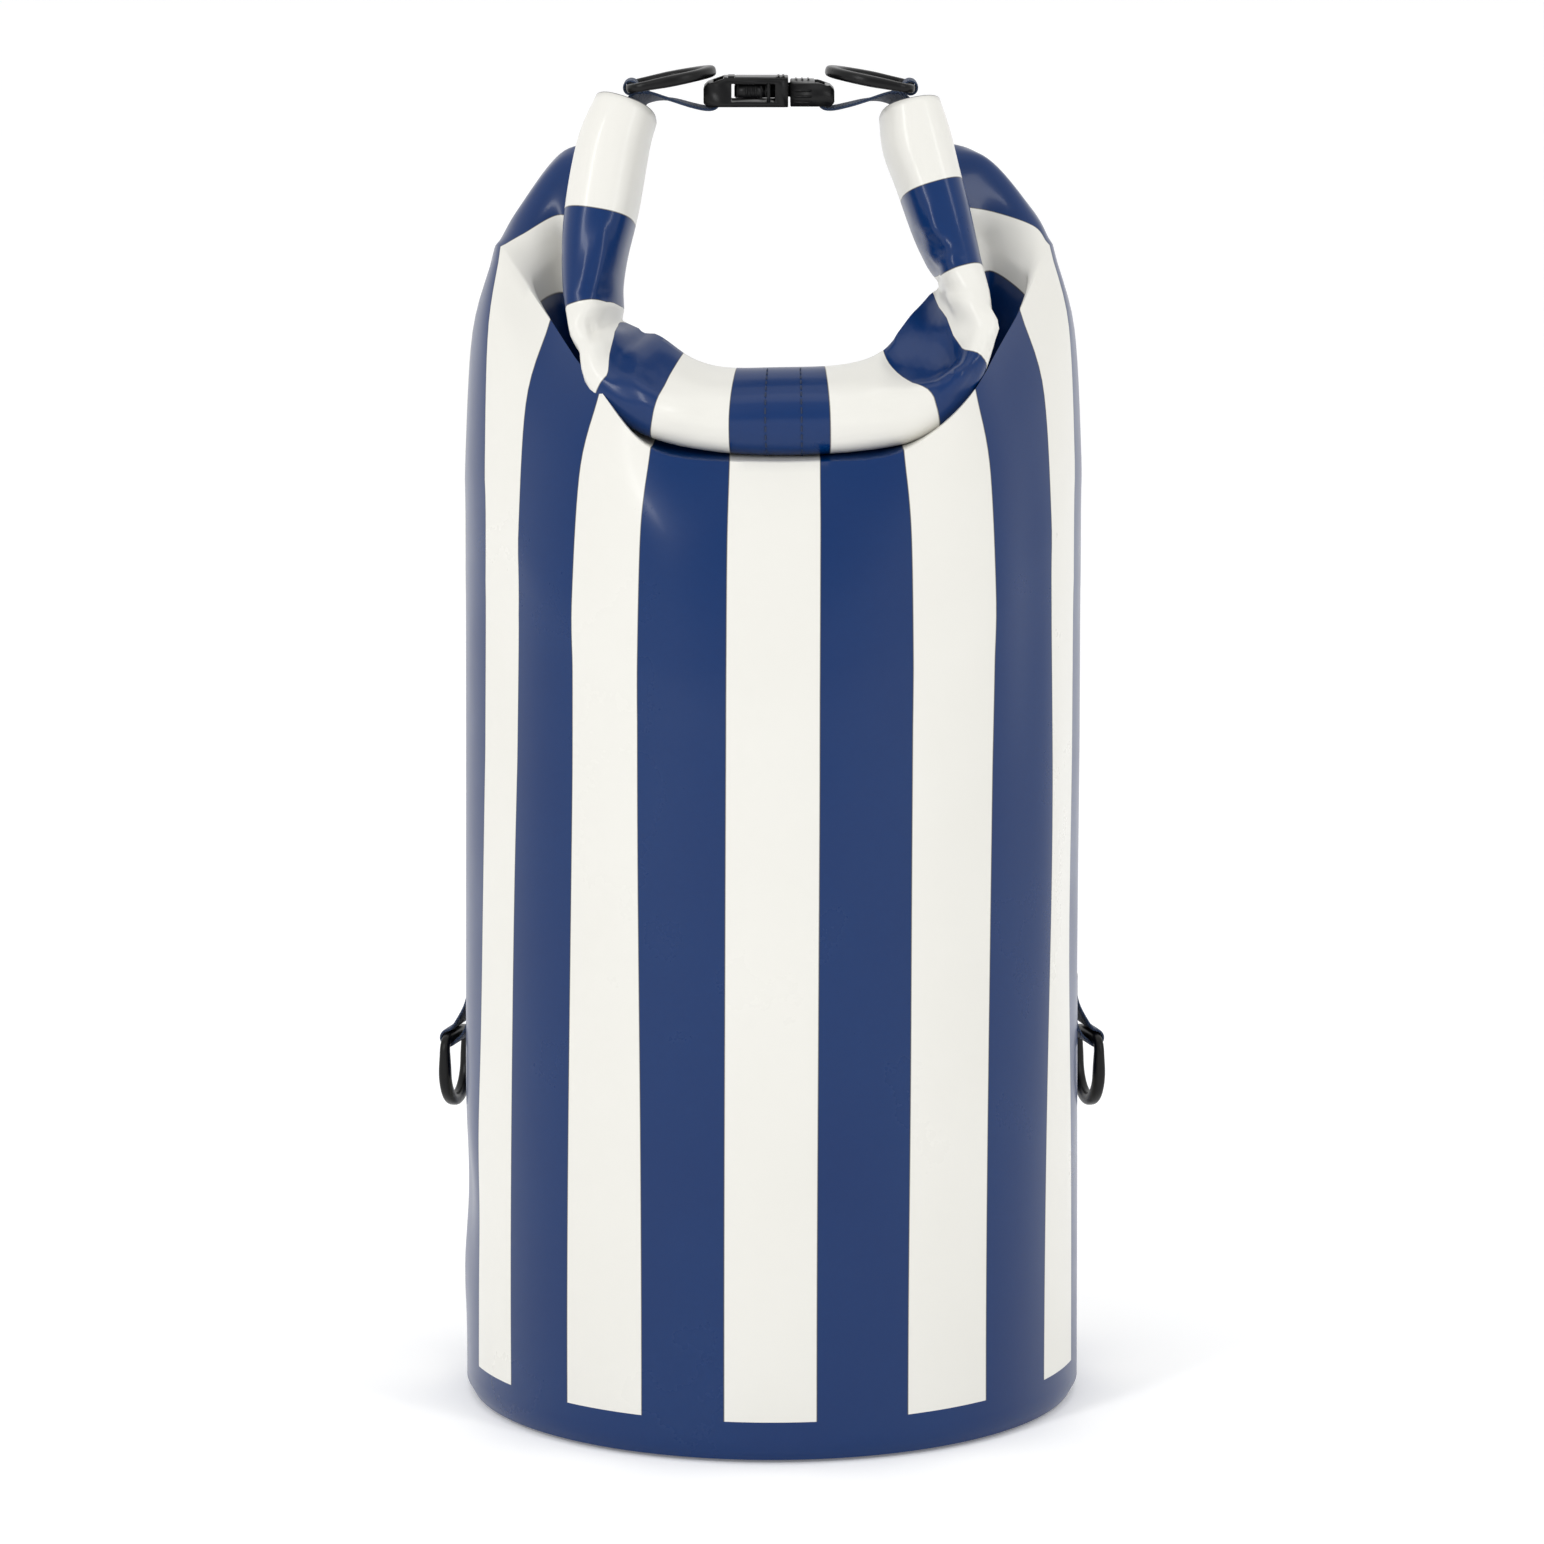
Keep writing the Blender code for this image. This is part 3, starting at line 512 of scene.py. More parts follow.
def make_sheet_mesh(name, tube, roll):
    """One sheet of tube and roll, with its cut lengths in metres, up from the floor, as texture coordinates."""
    rows, cols = tube.shape[:2]
    verts = np.vstack([tube.reshape(-1, 3), roll.reshape(-1, 3)])
    height = np.zeros((rows, cols))
    height[1:] = np.cumsum(np.linalg.norm(np.diff(tube, axis=0), axis=2), axis=0)
    height -= UNDER_FOOT
    top = height[-1].mean()
    faces, uvs = ring_faces(0, rows, cols), []
    for r in range(rows - 1):
        for j in range(cols):
            u, k = j * COLUMN_STEP, (j + 1) % cols
            uvs += [(u, height[r, j]), (u + COLUMN_STEP, height[r, k]), (u + COLUMN_STEP, height[r + 1, k]),
                    (u, height[r + 1, j])]
    start, wide = rows * cols, roll.shape[1]

    def roll_index(r, c):
        return (rows - 1) * cols + QUARTER + c if r < 0 else start + r * wide + c

    for r in range(-1, roll.shape[0] - 1):
        for c in range(wide - 1):
            corners = ((r, c), (r, c + 1), (r + 1, c + 1), (r + 1, c))
            faces.append(tuple(roll_index(*corner) for corner in corners))
            u, v = (QUARTER + c) * COLUMN_STEP, top + (r + 1) * ROLL_STEP
            uvs += [(u, v), (u + COLUMN_STEP, v), (u + COLUMN_STEP, v + ROLL_STEP), (u, v + ROLL_STEP)]
    return mesh_object(name, verts, faces, uvs)


def mesh_object(name, verts, faces, uvs=None):
    """An object from points and faces, with a place on the cloth for each face corner."""
    mesh = bpy.data.meshes.new(name)
    mesh.from_pydata([tuple(v) for v in verts], [], faces)
    if uvs is not None:
        layer = mesh.uv_layers.new(name="cloth")
        layer.data.foreach_set("uv", np.array(uvs, dtype=np.float32).ravel())
    mesh.update()
    return bpy.data.objects.new(name, mesh)


def show(obj, body, slot, mat, *nodes):
    """Put a finished piece in the scene, on its body, in place of the CAD nodes it stands for."""
    if obj.name not in bpy.context.scene.collection.objects:
        bpy.context.scene.collection.objects.link(obj)
    obj.data.materials.clear()
    obj.data.materials.append(mat)
    obj.data.shade_smooth()
    obj.data.set_sharp_from_angle(angle=math.radians(50))
    if body:
        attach(obj, body)
    if nodes:
        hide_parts(*nodes)
    return obj


# ---------------------------------------------------------------- small parts
def rounded(half_width, half_height, power=4.0, count=24):
    """A closed outline between an ellipse and a rectangle."""
    a = np.linspace(0, 2 * math.pi, count, endpoint=False)
    c, s = np.cos(a), np.sin(a)
    return np.column_stack([signed_power(c, 2 / power) * half_width, signed_power(s, 2 / power) * half_height])


def sweep(name, path, normal, outline, closed=False, widths=None):
    """A section carried along a path; the outline's first axis lies across, its second along the normal."""
    path = np.array(path, float)
    count, around = len(path), len(outline)
    if closed:
        tangent = np.roll(path, -1, axis=0) - np.roll(path, 1, axis=0)
    else:
        tangent = np.gradient(path, axis=0)
    tangent = unit(tangent)
    normal = np.broadcast_to(np.array(normal, float), path.shape)
    across = unit(np.cross(tangent, normal))
    normal = np.cross(across, tangent)
    widths = np.ones((count, 2)) if widths is None else np.array(widths)
    rings = (path[:, None] + across[:, None] * (outline[None, :, 0:1] * widths[:, None, 0:1])
             + normal[:, None] * (outline[None, :, 1:2] * widths[:, None, 1:2]))
    girth = run_length(np.vstack([outline, outline[:1]]))
    length = run_length(path)
    length = np.append(length, length[-1] + np.linalg.norm(path[0] - path[-1]))
    faces, uvs = ring_faces(0, count, around, closed), []
    for i in range(count if closed else count - 1):
        for j in range(around):
            uvs += [(girth[j], length[i]), (girth[j + 1], length[i]), (girth[j + 1], length[i + 1]),
                    (girth[j], length[i + 1])]
    if not closed:
        for ring, order in ((0, range(around - 1, -1, -1)), (count - 1, range(around))):
            faces.append(tuple(ring * around + j for j in order))
            uvs += [(outline[j][0], length[ring] + outline[j][1]) for j in order]
    return mesh_object(name, rings.reshape(-1, 3), faces, uvs)


def turned_out(obj):
    """The object with all its faces pointing outwards."""
    form = bmesh.new()
    form.from_mesh(obj.data)
    bmesh.ops.recalc_face_normals(form, faces=form.faces)
    form.to_mesh(obj.data)
    form.free()
    return obj


# places along a ribbon
RIBBON_STEPS = 70


def ribbon(name, route, half_width, thickness, widths, lean=None):
    """Webbing in the buckle's plane that follows a line drawn in X and Z."""
    line = smooth_route([(x, BUCKLE_Y, z) for x, z in route], RIBBON_STEPS)
    tangent = unit(np.gradient(line, axis=0))
    normal = np.cross(tangent, (0.0, 1.0, 0.0))
    if lean is not None:
        tip = np.radians(lean)[:, None]
        normal = normal * np.cos(tip) + np.cross(tangent, normal) * np.sin(tip)
    return turned_out(sweep(name, line, normal, rounded(half_width, thickness / 2, 6.0, 28), widths=widths))


def block(form, low, high, radius):
    """A box with rounded edges, added to a bmesh."""
    low, high = Vector(low), Vector(high)
    place = Matrix.Translation((low + high) / 2) @ Matrix.Diagonal((*(high - low), 1.0))
    made = bmesh.ops.create_cube(form, size=1.0, matrix=place)
    edges = list(dict.fromkeys(edge for v in made["verts"] for edge in v.link_edges))
    bmesh.ops.bevel(form, geom=edges, offset=radius, segments=2, affect="EDGES", clamp_overlap=True)


def moulded(node, name, radius, blocks):
    """A moulded part: the CAD shape with rounded edges, and ribs and buttons added to it."""
    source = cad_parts[node]
    form = bmesh.new()
    form.from_mesh(source.data)
    form.transform(source.matrix_world)
    bmesh.ops.remove_doubles(form, verts=form.verts, dist=1e-6)
    bmesh.ops.dissolve_limit(form, angle_limit=math.radians(3), verts=form.verts, edges=form.edges)
    sharp = [e for e in form.edges if len(e.link_faces) == 2 and e.calc_face_angle(0) > math.radians(28)]
    bmesh.ops.bevel(form, geom=sharp, offset=radius, segments=2, affect="EDGES", clamp_overlap=True)
    for low, high, soft in blocks:
        block(form, low, high, soft)
    bmesh.ops.recalc_face_normals(form, faces=form.faces)
    bmesh.ops.triangulate(form, faces=[f for f in form.faces if len(f.verts) > 4])
    mesh = bpy.data.meshes.new(name)
    form.to_mesh(mesh)
    form.free()
    return bpy.data.objects.new(name, mesh)


# how much thicker a ring's bow is than its bar, at right angles to the ring's plane
BOW_SWELL = 0.28


def ring(name, half_width, length, corner, bar_centre, across, along, wire, stout):
    """A moulded D ring: a round bar, and legs and a bow that are wider than the bar."""
    straight = length - half_width
    points = []
    for cx, start in ((-(half_width - corner), 180), (half_width - corner, 270)):
        points += [(cx + corner * math.cos(math.radians(a)), corner + corner * math.sin(math.radians(a)))
                   for a in np.linspace(start, start + 90, 7)]
    points += [(half_width, w) for w in np.linspace(corner, straight, 6)[1:-1]]
    points += [(half_width * math.cos(a), straight + half_width * math.sin(a))
               for a in np.linspace(0, math.pi, 30)]
    points += [(-half_width, w) for w in np.linspace(straight, corner, 6)[1:-1]]
    across, along = np.array(across, float), np.array(along, float)
    path = [np.array(bar_centre) + across * v + along * w for v, w in points]
    risen = [min(max((w - 0.001) / (0.5 * length), 0), 1) for _, w in points]
    grow = np.array([0.5 - 0.5 * math.cos(math.pi * share) for share in risen])
    widths = np.column_stack([1 + (stout - 1) * grow, 1 + BOW_SWELL * grow])
    return turned_out(sweep(name, path, np.cross(across, along), rounded(wire, wire, 2.8, 20), closed=True,
                            widths=widths))


def wall_plate(name, angle, half_angle, z0, z1, thickness, corner, rows=30, cols=24):
    """A thin sheet with rounded corners that lies on the wall, with its edges pressed down."""
    verts, count = [], rows * cols
    for layer in (0, 1):
        for r in range(rows):
            for c in range(cols):
                x, y = 2 * c / (cols - 1) - 1, 2 * r / (rows - 1) - 1
                wide, tall = half_angle * FOOT_RADIUS, (z1 - z0) / 2
                cut = corner * (abs(x) * abs(y)) ** 7
                x -= math.copysign(cut / wide, x) * 0.29
                y -= math.copysign(cut / tall, y) * 0.29
                z = (z0 + z1) / 2 + y * tall
                edge = 1 - max(abs(x), abs(y)) ** 24
                away = body_radius(z) + (0.00005 if layer == 0 else 0.00025 + thickness * edge)
                turn = angle + x * half_angle
                verts.append((away * math.sin(turn), -away * math.cos(turn), z))
    faces = []
    for r in range(rows - 1):
        for c in range(cols - 1):
            a = r * cols + c
            quad = (a, a + 1, a + cols + 1, a + cols)
            faces += [quad[::-1], tuple(i + count for i in quad)]
    rim = list(range(cols)) + [r * cols + cols - 1 for r in range(1, rows)]
    rim += [(rows - 1) * cols + c for c in range(cols - 2, -1, -1)] + [r * cols for r in range(rows - 2, 0, -1)]
    for a, b in zip(rim, rim[1:] + rim[:1]):
        faces.append((a, b, b + count, a + count))
    uvs = []
    for face in faces:
        uvs += [(math.atan2(verts[i][0], -verts[i][1]) * FOOT_RADIUS, verts[i][2]) for i in face]
    return turned_out(mesh_object(name, verts, faces, uvs))


def stitches(name, runs, radius=0.00032, stitch=0.0026, gap=0.0009):
    """Rows of thread: each run is (points, normals); every stitch is a small rounded bar."""
    verts, faces = [], []
    bar = [(-1.0, 0.0), (-0.92, 0.62), (-0.6, 0.95), (0.6, 0.95), (0.92, 0.62), (1.0, 0.0)]
    for points, normals in runs:
        points, normals = np.array(points, float), np.array(normals, float)
        length = run_length(points)
        at = 0.0
        while at + stitch <= length[-1]:
            ends = [sample(s, length, points) for s in (at, at + stitch)]
            up = unit(sample(at, length, normals))
            along = ends[1] - ends[0]
            middle, half = (ends[0] + ends[1]) / 2, np.linalg.norm(along) / 2
            along = unit(along)
            side = np.cross(along, up)
            base = len(verts)
            for reach, size in bar:
                for k in range(6):
                    a = 2 * math.pi * k / 6
                    out = side * math.cos(a) + up * math.sin(a)
                    verts.append(middle + along * (reach * half) + out * radius * max(size, 0.05))
            faces += ring_faces(base, len(bar), 6)
            faces.append(tuple(base + k for k in range(5, -1, -1)))
            faces.append(tuple(base + (len(bar) - 1) * 6 + k for k in range(6)))
            at += stitch + gap
    return turned_out(mesh_object(name, verts, faces))


# ---------------------------------------------------------------- materials
class Shading:
    """A node tree, with a short call for each kind of node that the looks use."""

    def __init__(self, tree, shader=None):
        self.nodes, self.links, self.shader = tree.nodes, tree.links, shader

    def new(self, kind):
        return self.nodes.new("ShaderNode" + kind)

    def feed(self, socket, value):
        """Link a socket to another node's output, or give it a number or a colour."""
        if isinstance(value, bpy.types.NodeSocket):
            self.links.new(value, socket)
        else:
            socket.default_value = (*value, 1.0) if isinstance(value, tuple) else value

    def give(self, node, *pairs):
        for key, value in pairs:
            self.feed(node.inputs[key], value)

    def set(self, **inputs):
        """Feed the shader's inputs, whose names have _ for a space here."""
        self.give(self.shader, *((key.replace("_", " "), value) for key, value in inputs.items()))

    def math(self, operation, first, second=None):
        node = self.new("Math")
        node.operation = operation
        self.feed(node.inputs[0], first)
        if second is not None:
            self.feed(node.inputs[1], second)
        return node.outputs[0]

    def noise(self, vector, scale, detail):
        node = self.new("TexNoise")
        self.give(node, ("Vector", vector), ("Scale", scale), ("Detail", detail))
        return node.outputs["Fac"]

    def spread(self, value, low, high, to_low, to_high):
        """Carry a range of values over to another range."""
        node = self.new("MapRange")
        self.give(node, ("Value", value), ("From Min", low), ("From Max", high))
        self.give(node, ("To Min", to_low), ("To Max", to_high))
        return node.outputs["Result"]

    def mix(self, factor, first, second):
        node = self.new("Mix")
        node.data_type = "RGBA"
        self.feed(node.inputs["Factor"], factor)
        for key, value in (("A", first), ("B", second)):
            self.feed(next(s for s in node.inputs if s.name == key and s.type == "RGBA"), value)
        return next(s for s in node.outputs if s.type == "RGBA")

    def relief(self, height, strength, distance):
        node = self.new("Bump")
        self.give(node, ("Strength", strength), ("Distance", distance), ("Height", height))
        self.set(Normal=node.outputs["Normal"])

    def cloth_axes(self):
        """Metres across and up the cloth."""
        coords, split = self.new("UVMap"), self.new("SeparateXYZ")
        coords.uv_map = "cloth"
        self.feed(split.inputs[0], coords.outputs["UV"])
        return split.outputs["X"], split.outputs["Y"]

    def spot(self):
        """The place on the object, in metres."""
        return self.new("TexCoord").outputs["Object"]


def new_material(name):
    mat = bpy.data.materials.new(name)
    mat.use_nodes = True
    return mat, Shading(mat.node_tree, mat.node_tree.nodes["Principled BSDF"])


# printed colours, and how they differ where the coat is worn or dull
NAVY = (0.0000, 0.023, 0.108)
NAVY_LIGHT = (0.0004, 0.028, 0.126)
NAVY_DULL = (0.0005, 0.016, 0.09)
CREAM = (0.74, 0.728, 0.678)
CREAM_DULL = (0.705, 0.69, 0.635)
PRINT_LINE = (0.02, 0.022, 0.035)
WEB_DARK, WEB_LIGHT = (0.003, 0.009, 0.026), (0.014, 0.046, 0.125)
THREAD_DARK, THREAD_LIGHT = (0.004, 0.01, 0.03), (0.012, 0.032, 0.09)
# the pitch of the scrim's threads and of the webbing's picks
SCRIM_PITCH = 0.00085
PICK_PITCH = 0.0012


def tarpaulin_material(name, striped):
    """Coated tarpaulin: printed colour, the woven scrim showing faintly through a smooth gloss skin."""
    mat, look = new_material(name)
    u, v = look.cloth_axes()
    spot = look.spot()
    thread = 2 * math.pi / SCRIM_PITCH
    warp = look.math("SINE", look.math("MULTIPLY", u, thread))
    weft = look.math("SINE", look.math("MULTIPLY", v, thread))
    weave = look.math("MULTIPLY", warp, weft)
    patchy = look.noise(spot, 14.0, 4.0)
    fine = look.noise(spot, 520.0, 1.0)
    worn = look.math("ADD", look.math("MULTIPLY", weave, 0.1), fine)
    navy_worn = look.mix(look.spread(worn, 0.2, 0.9, 0.0, 0.4), NAVY, NAVY_LIGHT)
    navy = look.mix(look.spread(patchy, 0.35, 0.7, 0.0, 0.35), navy_worn, NAVY_DULL)
    if striped:
        cream = look.mix(look.spread(patchy, 0.3, 0.75, 0.0, 0.5), CREAM, CREAM_DULL)
        centred = look.math("PINGPONG", look.math("DIVIDE", u, STRIPE_WIDTH), 1.0)
        edge = look.math("SUBTRACT", centred, 0.5)
        odd = look.math("GREATER_THAN", edge, 0.0)
        below = look.math("LESS_THAN", v, BAND_HEIGHT)
        colour = look.mix(look.math("MAXIMUM", odd, below), cream, navy)
        near = look.math("ABSOLUTE", edge)
        line = look.spread(near, 0.004, 0.01, 0.75, 0.0)
        line = look.math("MULTIPLY", line, look.math("SUBTRACT", 1.0, below))
        look.set(Base_Color=look.mix(line, colour, PRINT_LINE))
    else:
        look.set(Base_Color=navy)
    uneven = look.spread(fine, 0.3, 0.7, -0.002, 0.004)
    rough = look.math("ADD", look.spread(patchy, 0.3, 0.7, 0.25, 0.36), uneven)
    look.set(Roughness=rough, Specular_IOR_Level=0.22, Coat_Weight=0.22, Coat_Roughness=0.12, Coat_IOR=1.45)
    height = look.math("ADD", look.math("MULTIPLY", weave, 0.025), look.noise(spot, 70.0, 1.0))
    look.relief(height, 0.1, 0.0005)
    return mat


def webbing_material(name):
    """Woven polyester tape: slanting picks in a herringbone, with dark gaps between them."""
    mat, look = new_material(name)
    u, v = look.cloth_axes()
    folded = look.math("PINGPONG", u, 0.0024)
    slant = look.math("ADD", look.math("MULTIPLY", folded, 0.9), v)
    rib = look.math("SINE", look.math("MULTIPLY", slant, 2 * math.pi / PICK_PITCH))
    column = look.math("SINE", look.math("MULTIPLY", u, 2 * math.pi / PICK_PITCH))
    height = look.math("ADD", rib, look.math("MULTIPLY", column, 0.5))
    tone = look.spread(rib, -1.0, 1.0, 0.0, 1.0)
    look.set(Base_Color=look.mix(tone, WEB_DARK, WEB_LIGHT), Roughness=0.62, Sheen_Weight=0.1)
    look.relief(height, 0.7, 0.0003)
    return mat


def plastic_material(name, colour, low, high):
    """Moulded acetal: a fine spark texture, slight variation in gloss, and faint flow marks."""
    mat, look = new_material(name)
    spot = look.spot()
    wide = look.noise(spot, 60.0, 3.0)
    darker = tuple(c * 0.55 for c in colour)
    tone = look.mix(look.spread(wide, 0.3, 0.7, 0.0, 1.0), colour, darker)
    look.set(Base_Color=tone, Roughness=look.spread(wide, 0.3, 0.7, low, high), Specular_IOR_Level=0.24)
    waves = look.math("MULTIPLY", look.noise(spot, 300.0, 2.0), 1.5)
    grain = look.math("ADD", look.noise(spot, 3500.0, 1.0), waves)
    look.relief(grain, 0.25, 0.0001)
    return mat


def thread_material(name):
    """Twisted polyester thread."""
    mat, look = new_material(name)
    spot = look.spot()
    strand = look.noise(spot, 4000.0, 2.0)
    look.set(Base_Color=look.mix(strand, THREAD_DARK, THREAD_LIGHT))
    look.set(Roughness=look.spread(strand, 0.3, 0.7, 0.5, 0.7))
    look.relief(strand, 0.5, 0.0001)
    return mat


STRIPED = tarpaulin_material("striped_tarpaulin", True)
PLAIN = tarpaulin_material("navy_tarpaulin", False)
WEBBING = webbing_material("navy_webbing")
PLASTIC = plastic_material("black_acetal", (0.003, 0.003, 0.0034), 0.26, 0.38)
STRIP = plastic_material("stiffener_plastic", (0.62, 0.62, 0.6), 0.4, 0.52)
THREAD = thread_material("navy_thread")

# ---------------------------------------------------------------- the sheet
tube = tube_grid()
tube = settle(tube)
roll = roll_grid()
sack = make_sheet_mesh("striped_sack", tube, roll)
show(sack, "sack", "striped_tarpaulin", STRIPED, "bag_body", "rolled_collar", "base_band")
wall = sack.modifiers.new("thickness", "SOLIDIFY")
wall.thickness = SHEET
wall.offset = -1.0


# ---------------------------------------------------------------- base, patches and seam
def base_disc():
    """The round base: a disc set up inside the hem, drawn in slightly at its middle."""
    profile = [(0.0, 0.0019), (0.03, 0.0018), (0.06, 0.0015), (0.09, 0.001), (0.105, 0.0006),
               (0.112, 0.0004), (0.1146, 0.0007), (0.1152, 0.0013), (0.1146, 0.002), (0.11, 0.0022),
               (0.06, 0.0028), (0.0, 0.0031)]
    turns = 96
    verts, faces, uvs = [(0, 0, profile[0][1])], [], []
    for radius, z in profile[1:-1]:
        verts += [(radius * math.cos(2 * math.pi * k / turns), radius * math.sin(2 * math.pi * k / turns), z)
                  for k in range(turns)]
    verts.append((0, 0, profile[-1][1]))
    last = len(verts) - 1
    for k in range(turns):
        n = (k + 1) % turns
        faces.append((0, 1 + k, 1 + n))
        for i in range(len(profile) - 3):
            a, b = 1 + i * turns, 1 + (i + 1) * turns
            faces.append((a + k, b + k, b + n, a + n))
        top = 1 + (len(profile) - 3) * turns
        faces.append((top + k, last, top + n))
    for face in faces:
        uvs += [(verts[i][0], verts[i][1]) for i in face]
    return turned_out(mesh_object("base_disc", verts, faces, uvs))


show(base_disc(), "sack", "navy_tarpaulin", PLAIN, "base_panel")
# the side patches: their angle from the front, and the radius and height of the ring's bar on them
SIDE_ANGLE = math.radians(105)
SIDE_BAR = (0.131, 0.1345)
PATCH_HALF_ANGLE = math.radians(10.5)
for side, word in SIDES:
    middle = side * SIDE_ANGLE
    plate = wall_plate(f"side_patch_{word}_cloth", middle, PATCH_HALF_ANGLE, 0.118, 0.166, SHEET, 0.012)
    show(plate, "sack", "navy_tarpaulin", PLAIN, "side_patch_" + word)
tape = wall_plate("back_seam_cloth", math.pi, math.radians(5), 0.014, 0.255, 0.0007, 0.006, rows=90)
show(tape, "sack", "navy_tarpaulin", PLAIN, "back_seam_tape")


# ---------------------------------------------------------------- webbing and rings
LEFT_STRAP = ((-0.0575, 0.49), (-0.0562, 0.4985), (-0.0536, 0.5065), (-0.0497, 0.5109), (-0.045, 0.5116),
              (-0.038, 0.5106), (-0.03, 0.5084), (-0.025, 0.5074), (-0.0218, 0.5077), (-0.0204, 0.5095),
              (-0.0203, 0.515))
RIGHT_STRAP = ((0.0545, 0.49), (0.0534, 0.4985), (0.0508, 0.5065), (0.0475, 0.5106), (0.043, 0.5114),
               (0.0365, 0.5106), (0.0285, 0.5086), (0.023, 0.5075), (0.0196, 0.5078), (0.018, 0.5097),
               (0.0179, 0.515))


def width_along(factor):
    """Width factors for a ribbon, whose thickness stays even."""
    return np.column_stack([factor, np.ones(RIBBON_STEPS)])


ALONG = np.linspace(0, 1, RIBBON_STEPS)
STRAP_WIDTHS = width_along(1.0 + 0.1 * bump(ALONG, 0.3, 0.12) - 0.05 * bump(ALONG, 0.75, 0.2))
# the strap's tip to one side where it comes over the roll's end, in degrees
LEAN = 20 * bump(ALONG, 0.34, 0.17)
left_strap = ribbon("strap_left_web", LEFT_STRAP, 0.0098, 0.0014, STRAP_WIDTHS, lean=-LEAN)
show(left_strap, "sack", "webbing", WEBBING, "strap_left")
right_strap = ribbon("strap_right_web", RIGHT_STRAP, 0.0098, 0.0014, STRAP_WIDTHS, lean=LEAN)
show(right_strap, None, "webbing", WEBBING, "strap_right")
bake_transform(right_strap)

TOP_BAR_X = {"left": -0.0533, "right": 0.0522}
TOP_BAR_Z = 0.5155
TOP_HALF_WIDTH, TOP_LENGTH = 0.0168, 0.03
# how far the ring's bow stands above its bar, and the radius of the keeper's wrap round the bar
TOP_RISE = 0.0057
WRAP_RADIUS = 0.0025
for word, way in (("left", 1), ("right", -1)):
    bar = np.array([TOP_BAR_X[word], BUCKLE_Y, TOP_BAR_Z])
    rise = math.asin(TOP_RISE / TOP_LENGTH)
    along = (way * math.cos(rise), 0, math.sin(rise))
    piece = ring(f"top_ring_{word}_moulded", TOP_HALF_WIDTH, TOP_LENGTH, 0.005, bar, (0, way, 0), along,
                 0.0017, 1.6)
    show(piece, "top_ring_" + word[0], "black_plastic", PLASTIC, "top_ring_" + word)
    wrap = [(bar[0] + way * WRAP_RADIUS * math.cos(a), bar[2] + WRAP_RADIUS * math.sin(a))
            for a in np.radians(np.linspace(20, 312, 16))]
    wrap += [(bar[0] + way * x, bar[2] + z)
             for x, z in ((0.003, -0.002), (0.0046, -0.0019), (0.0068, -0.0021))]
    fold = ribbon(f"ring_keeper_{word}_web", wrap, 0.0092, 0.001, width_along(1.0 + 0.08 * ALONG ** 2))
    show(fold, "sack", "webbing", WEBBING, "ring_keeper_" + word)

for side, word in SIDES:
    radial = np.array([side * math.sin(SIDE_ANGLE), -math.cos(SIDE_ANGLE), 0.0])
    tangent = np.cross(radial, UP)
    bar = radial * SIDE_BAR[0] + UP * SIDE_BAR[1]
    piece = ring(f"side_ring_{word}_moulded", 0.014, 0.0265, 0.0045, bar, tangent, -UP, 0.0019, 1.3)
    show(piece, "side_ring_" + word[0], "black_plastic", PLASTIC, "side_ring_" + word)
    loop = [(0.1226, 0.156), (0.1229, 0.152), (0.1243, 0.1475), (0.127, 0.1425), (0.1297, 0.1385)]
    loop += [(SIDE_BAR[0] + 0.0031 * math.cos(a), SIDE_BAR[1] + 0.0031 * math.sin(a))
             for a in np.radians(np.linspace(75, -110, 12))]
    loop += [(0.1278, 0.1336), (0.1252, 0.1362), (0.1233, 0.14), (0.1226, 0.144)]
    line = smooth_route([(r, 0, z) for r, z in loop], 90)
    facing = np.cross(unit(np.gradient(line, axis=0)), (0.0, 1.0, 0.0))
    path = radial * line[:, 0:1] + UP * line[:, 2:3]
    normals = radial * facing[:, 0:1] + UP * facing[:, 2:3]
    band = turned_out(sweep(f"side_loop_{word}_web", path, normals, rounded(0.0099, 0.0006, 6.0, 28)))
    show(band, "sack", "webbing", WEBBING, "side_loop_" + word)

# ---------------------------------------------------------------- buckle
# ribs and grips moulded on the buckle: low corner, high corner and edge radius of each
Y = BUCKLE_Y
SOCKET_RIBS = [((x, Y - 0.0085, 0.5188), (x + 0.0013, Y + 0.0085, 0.5198), 0.0003) for x in (0.0018, 0.0036)]
SOCKET_RIBS += [((-0.017, Y - 0.01, 0.5186), (-0.0138, Y + 0.01, 0.51965), 0.0004)]
SOCKET_RIBS += [((-0.002, y - 0.0004, 0.51), (-0.0006, y + 0.0004, 0.5178), 0.0002)
                for y in (Y - 0.0136, Y + 0.0136)]
PLUG_RIBS = [((x, Y - 0.007, 0.5176), (x + 0.0011, Y + 0.007, 0.51862), 0.0003)
             for x in (0.0085, 0.0108, 0.0131)]
PLUG_RIBS += [((0.008, Y - 0.01385, z), (0.015, Y - 0.0133, z + 0.001), 0.0002)
              for z in (0.5098, 0.512, 0.5142)]
BUCKLE_PARTS = [("buckle_socket", "sack", 0.0007, SOCKET_RIBS), ("buckle_plug", "plug", 0.0006, PLUG_RIBS)]
for word, y in (("front", Y - 0.0132), ("rear", Y + 0.0132)):
    grips = [((x, y - 0.0006, 0.5124), (x + 0.0009, y + 0.0006, 0.5164), 0.0002)
             for x in (-0.01, -0.0083, -0.0066)]
    BUCKLE_PARTS.append(("buckle_prong_" + word, "prong_" + word, 0.0004, grips))
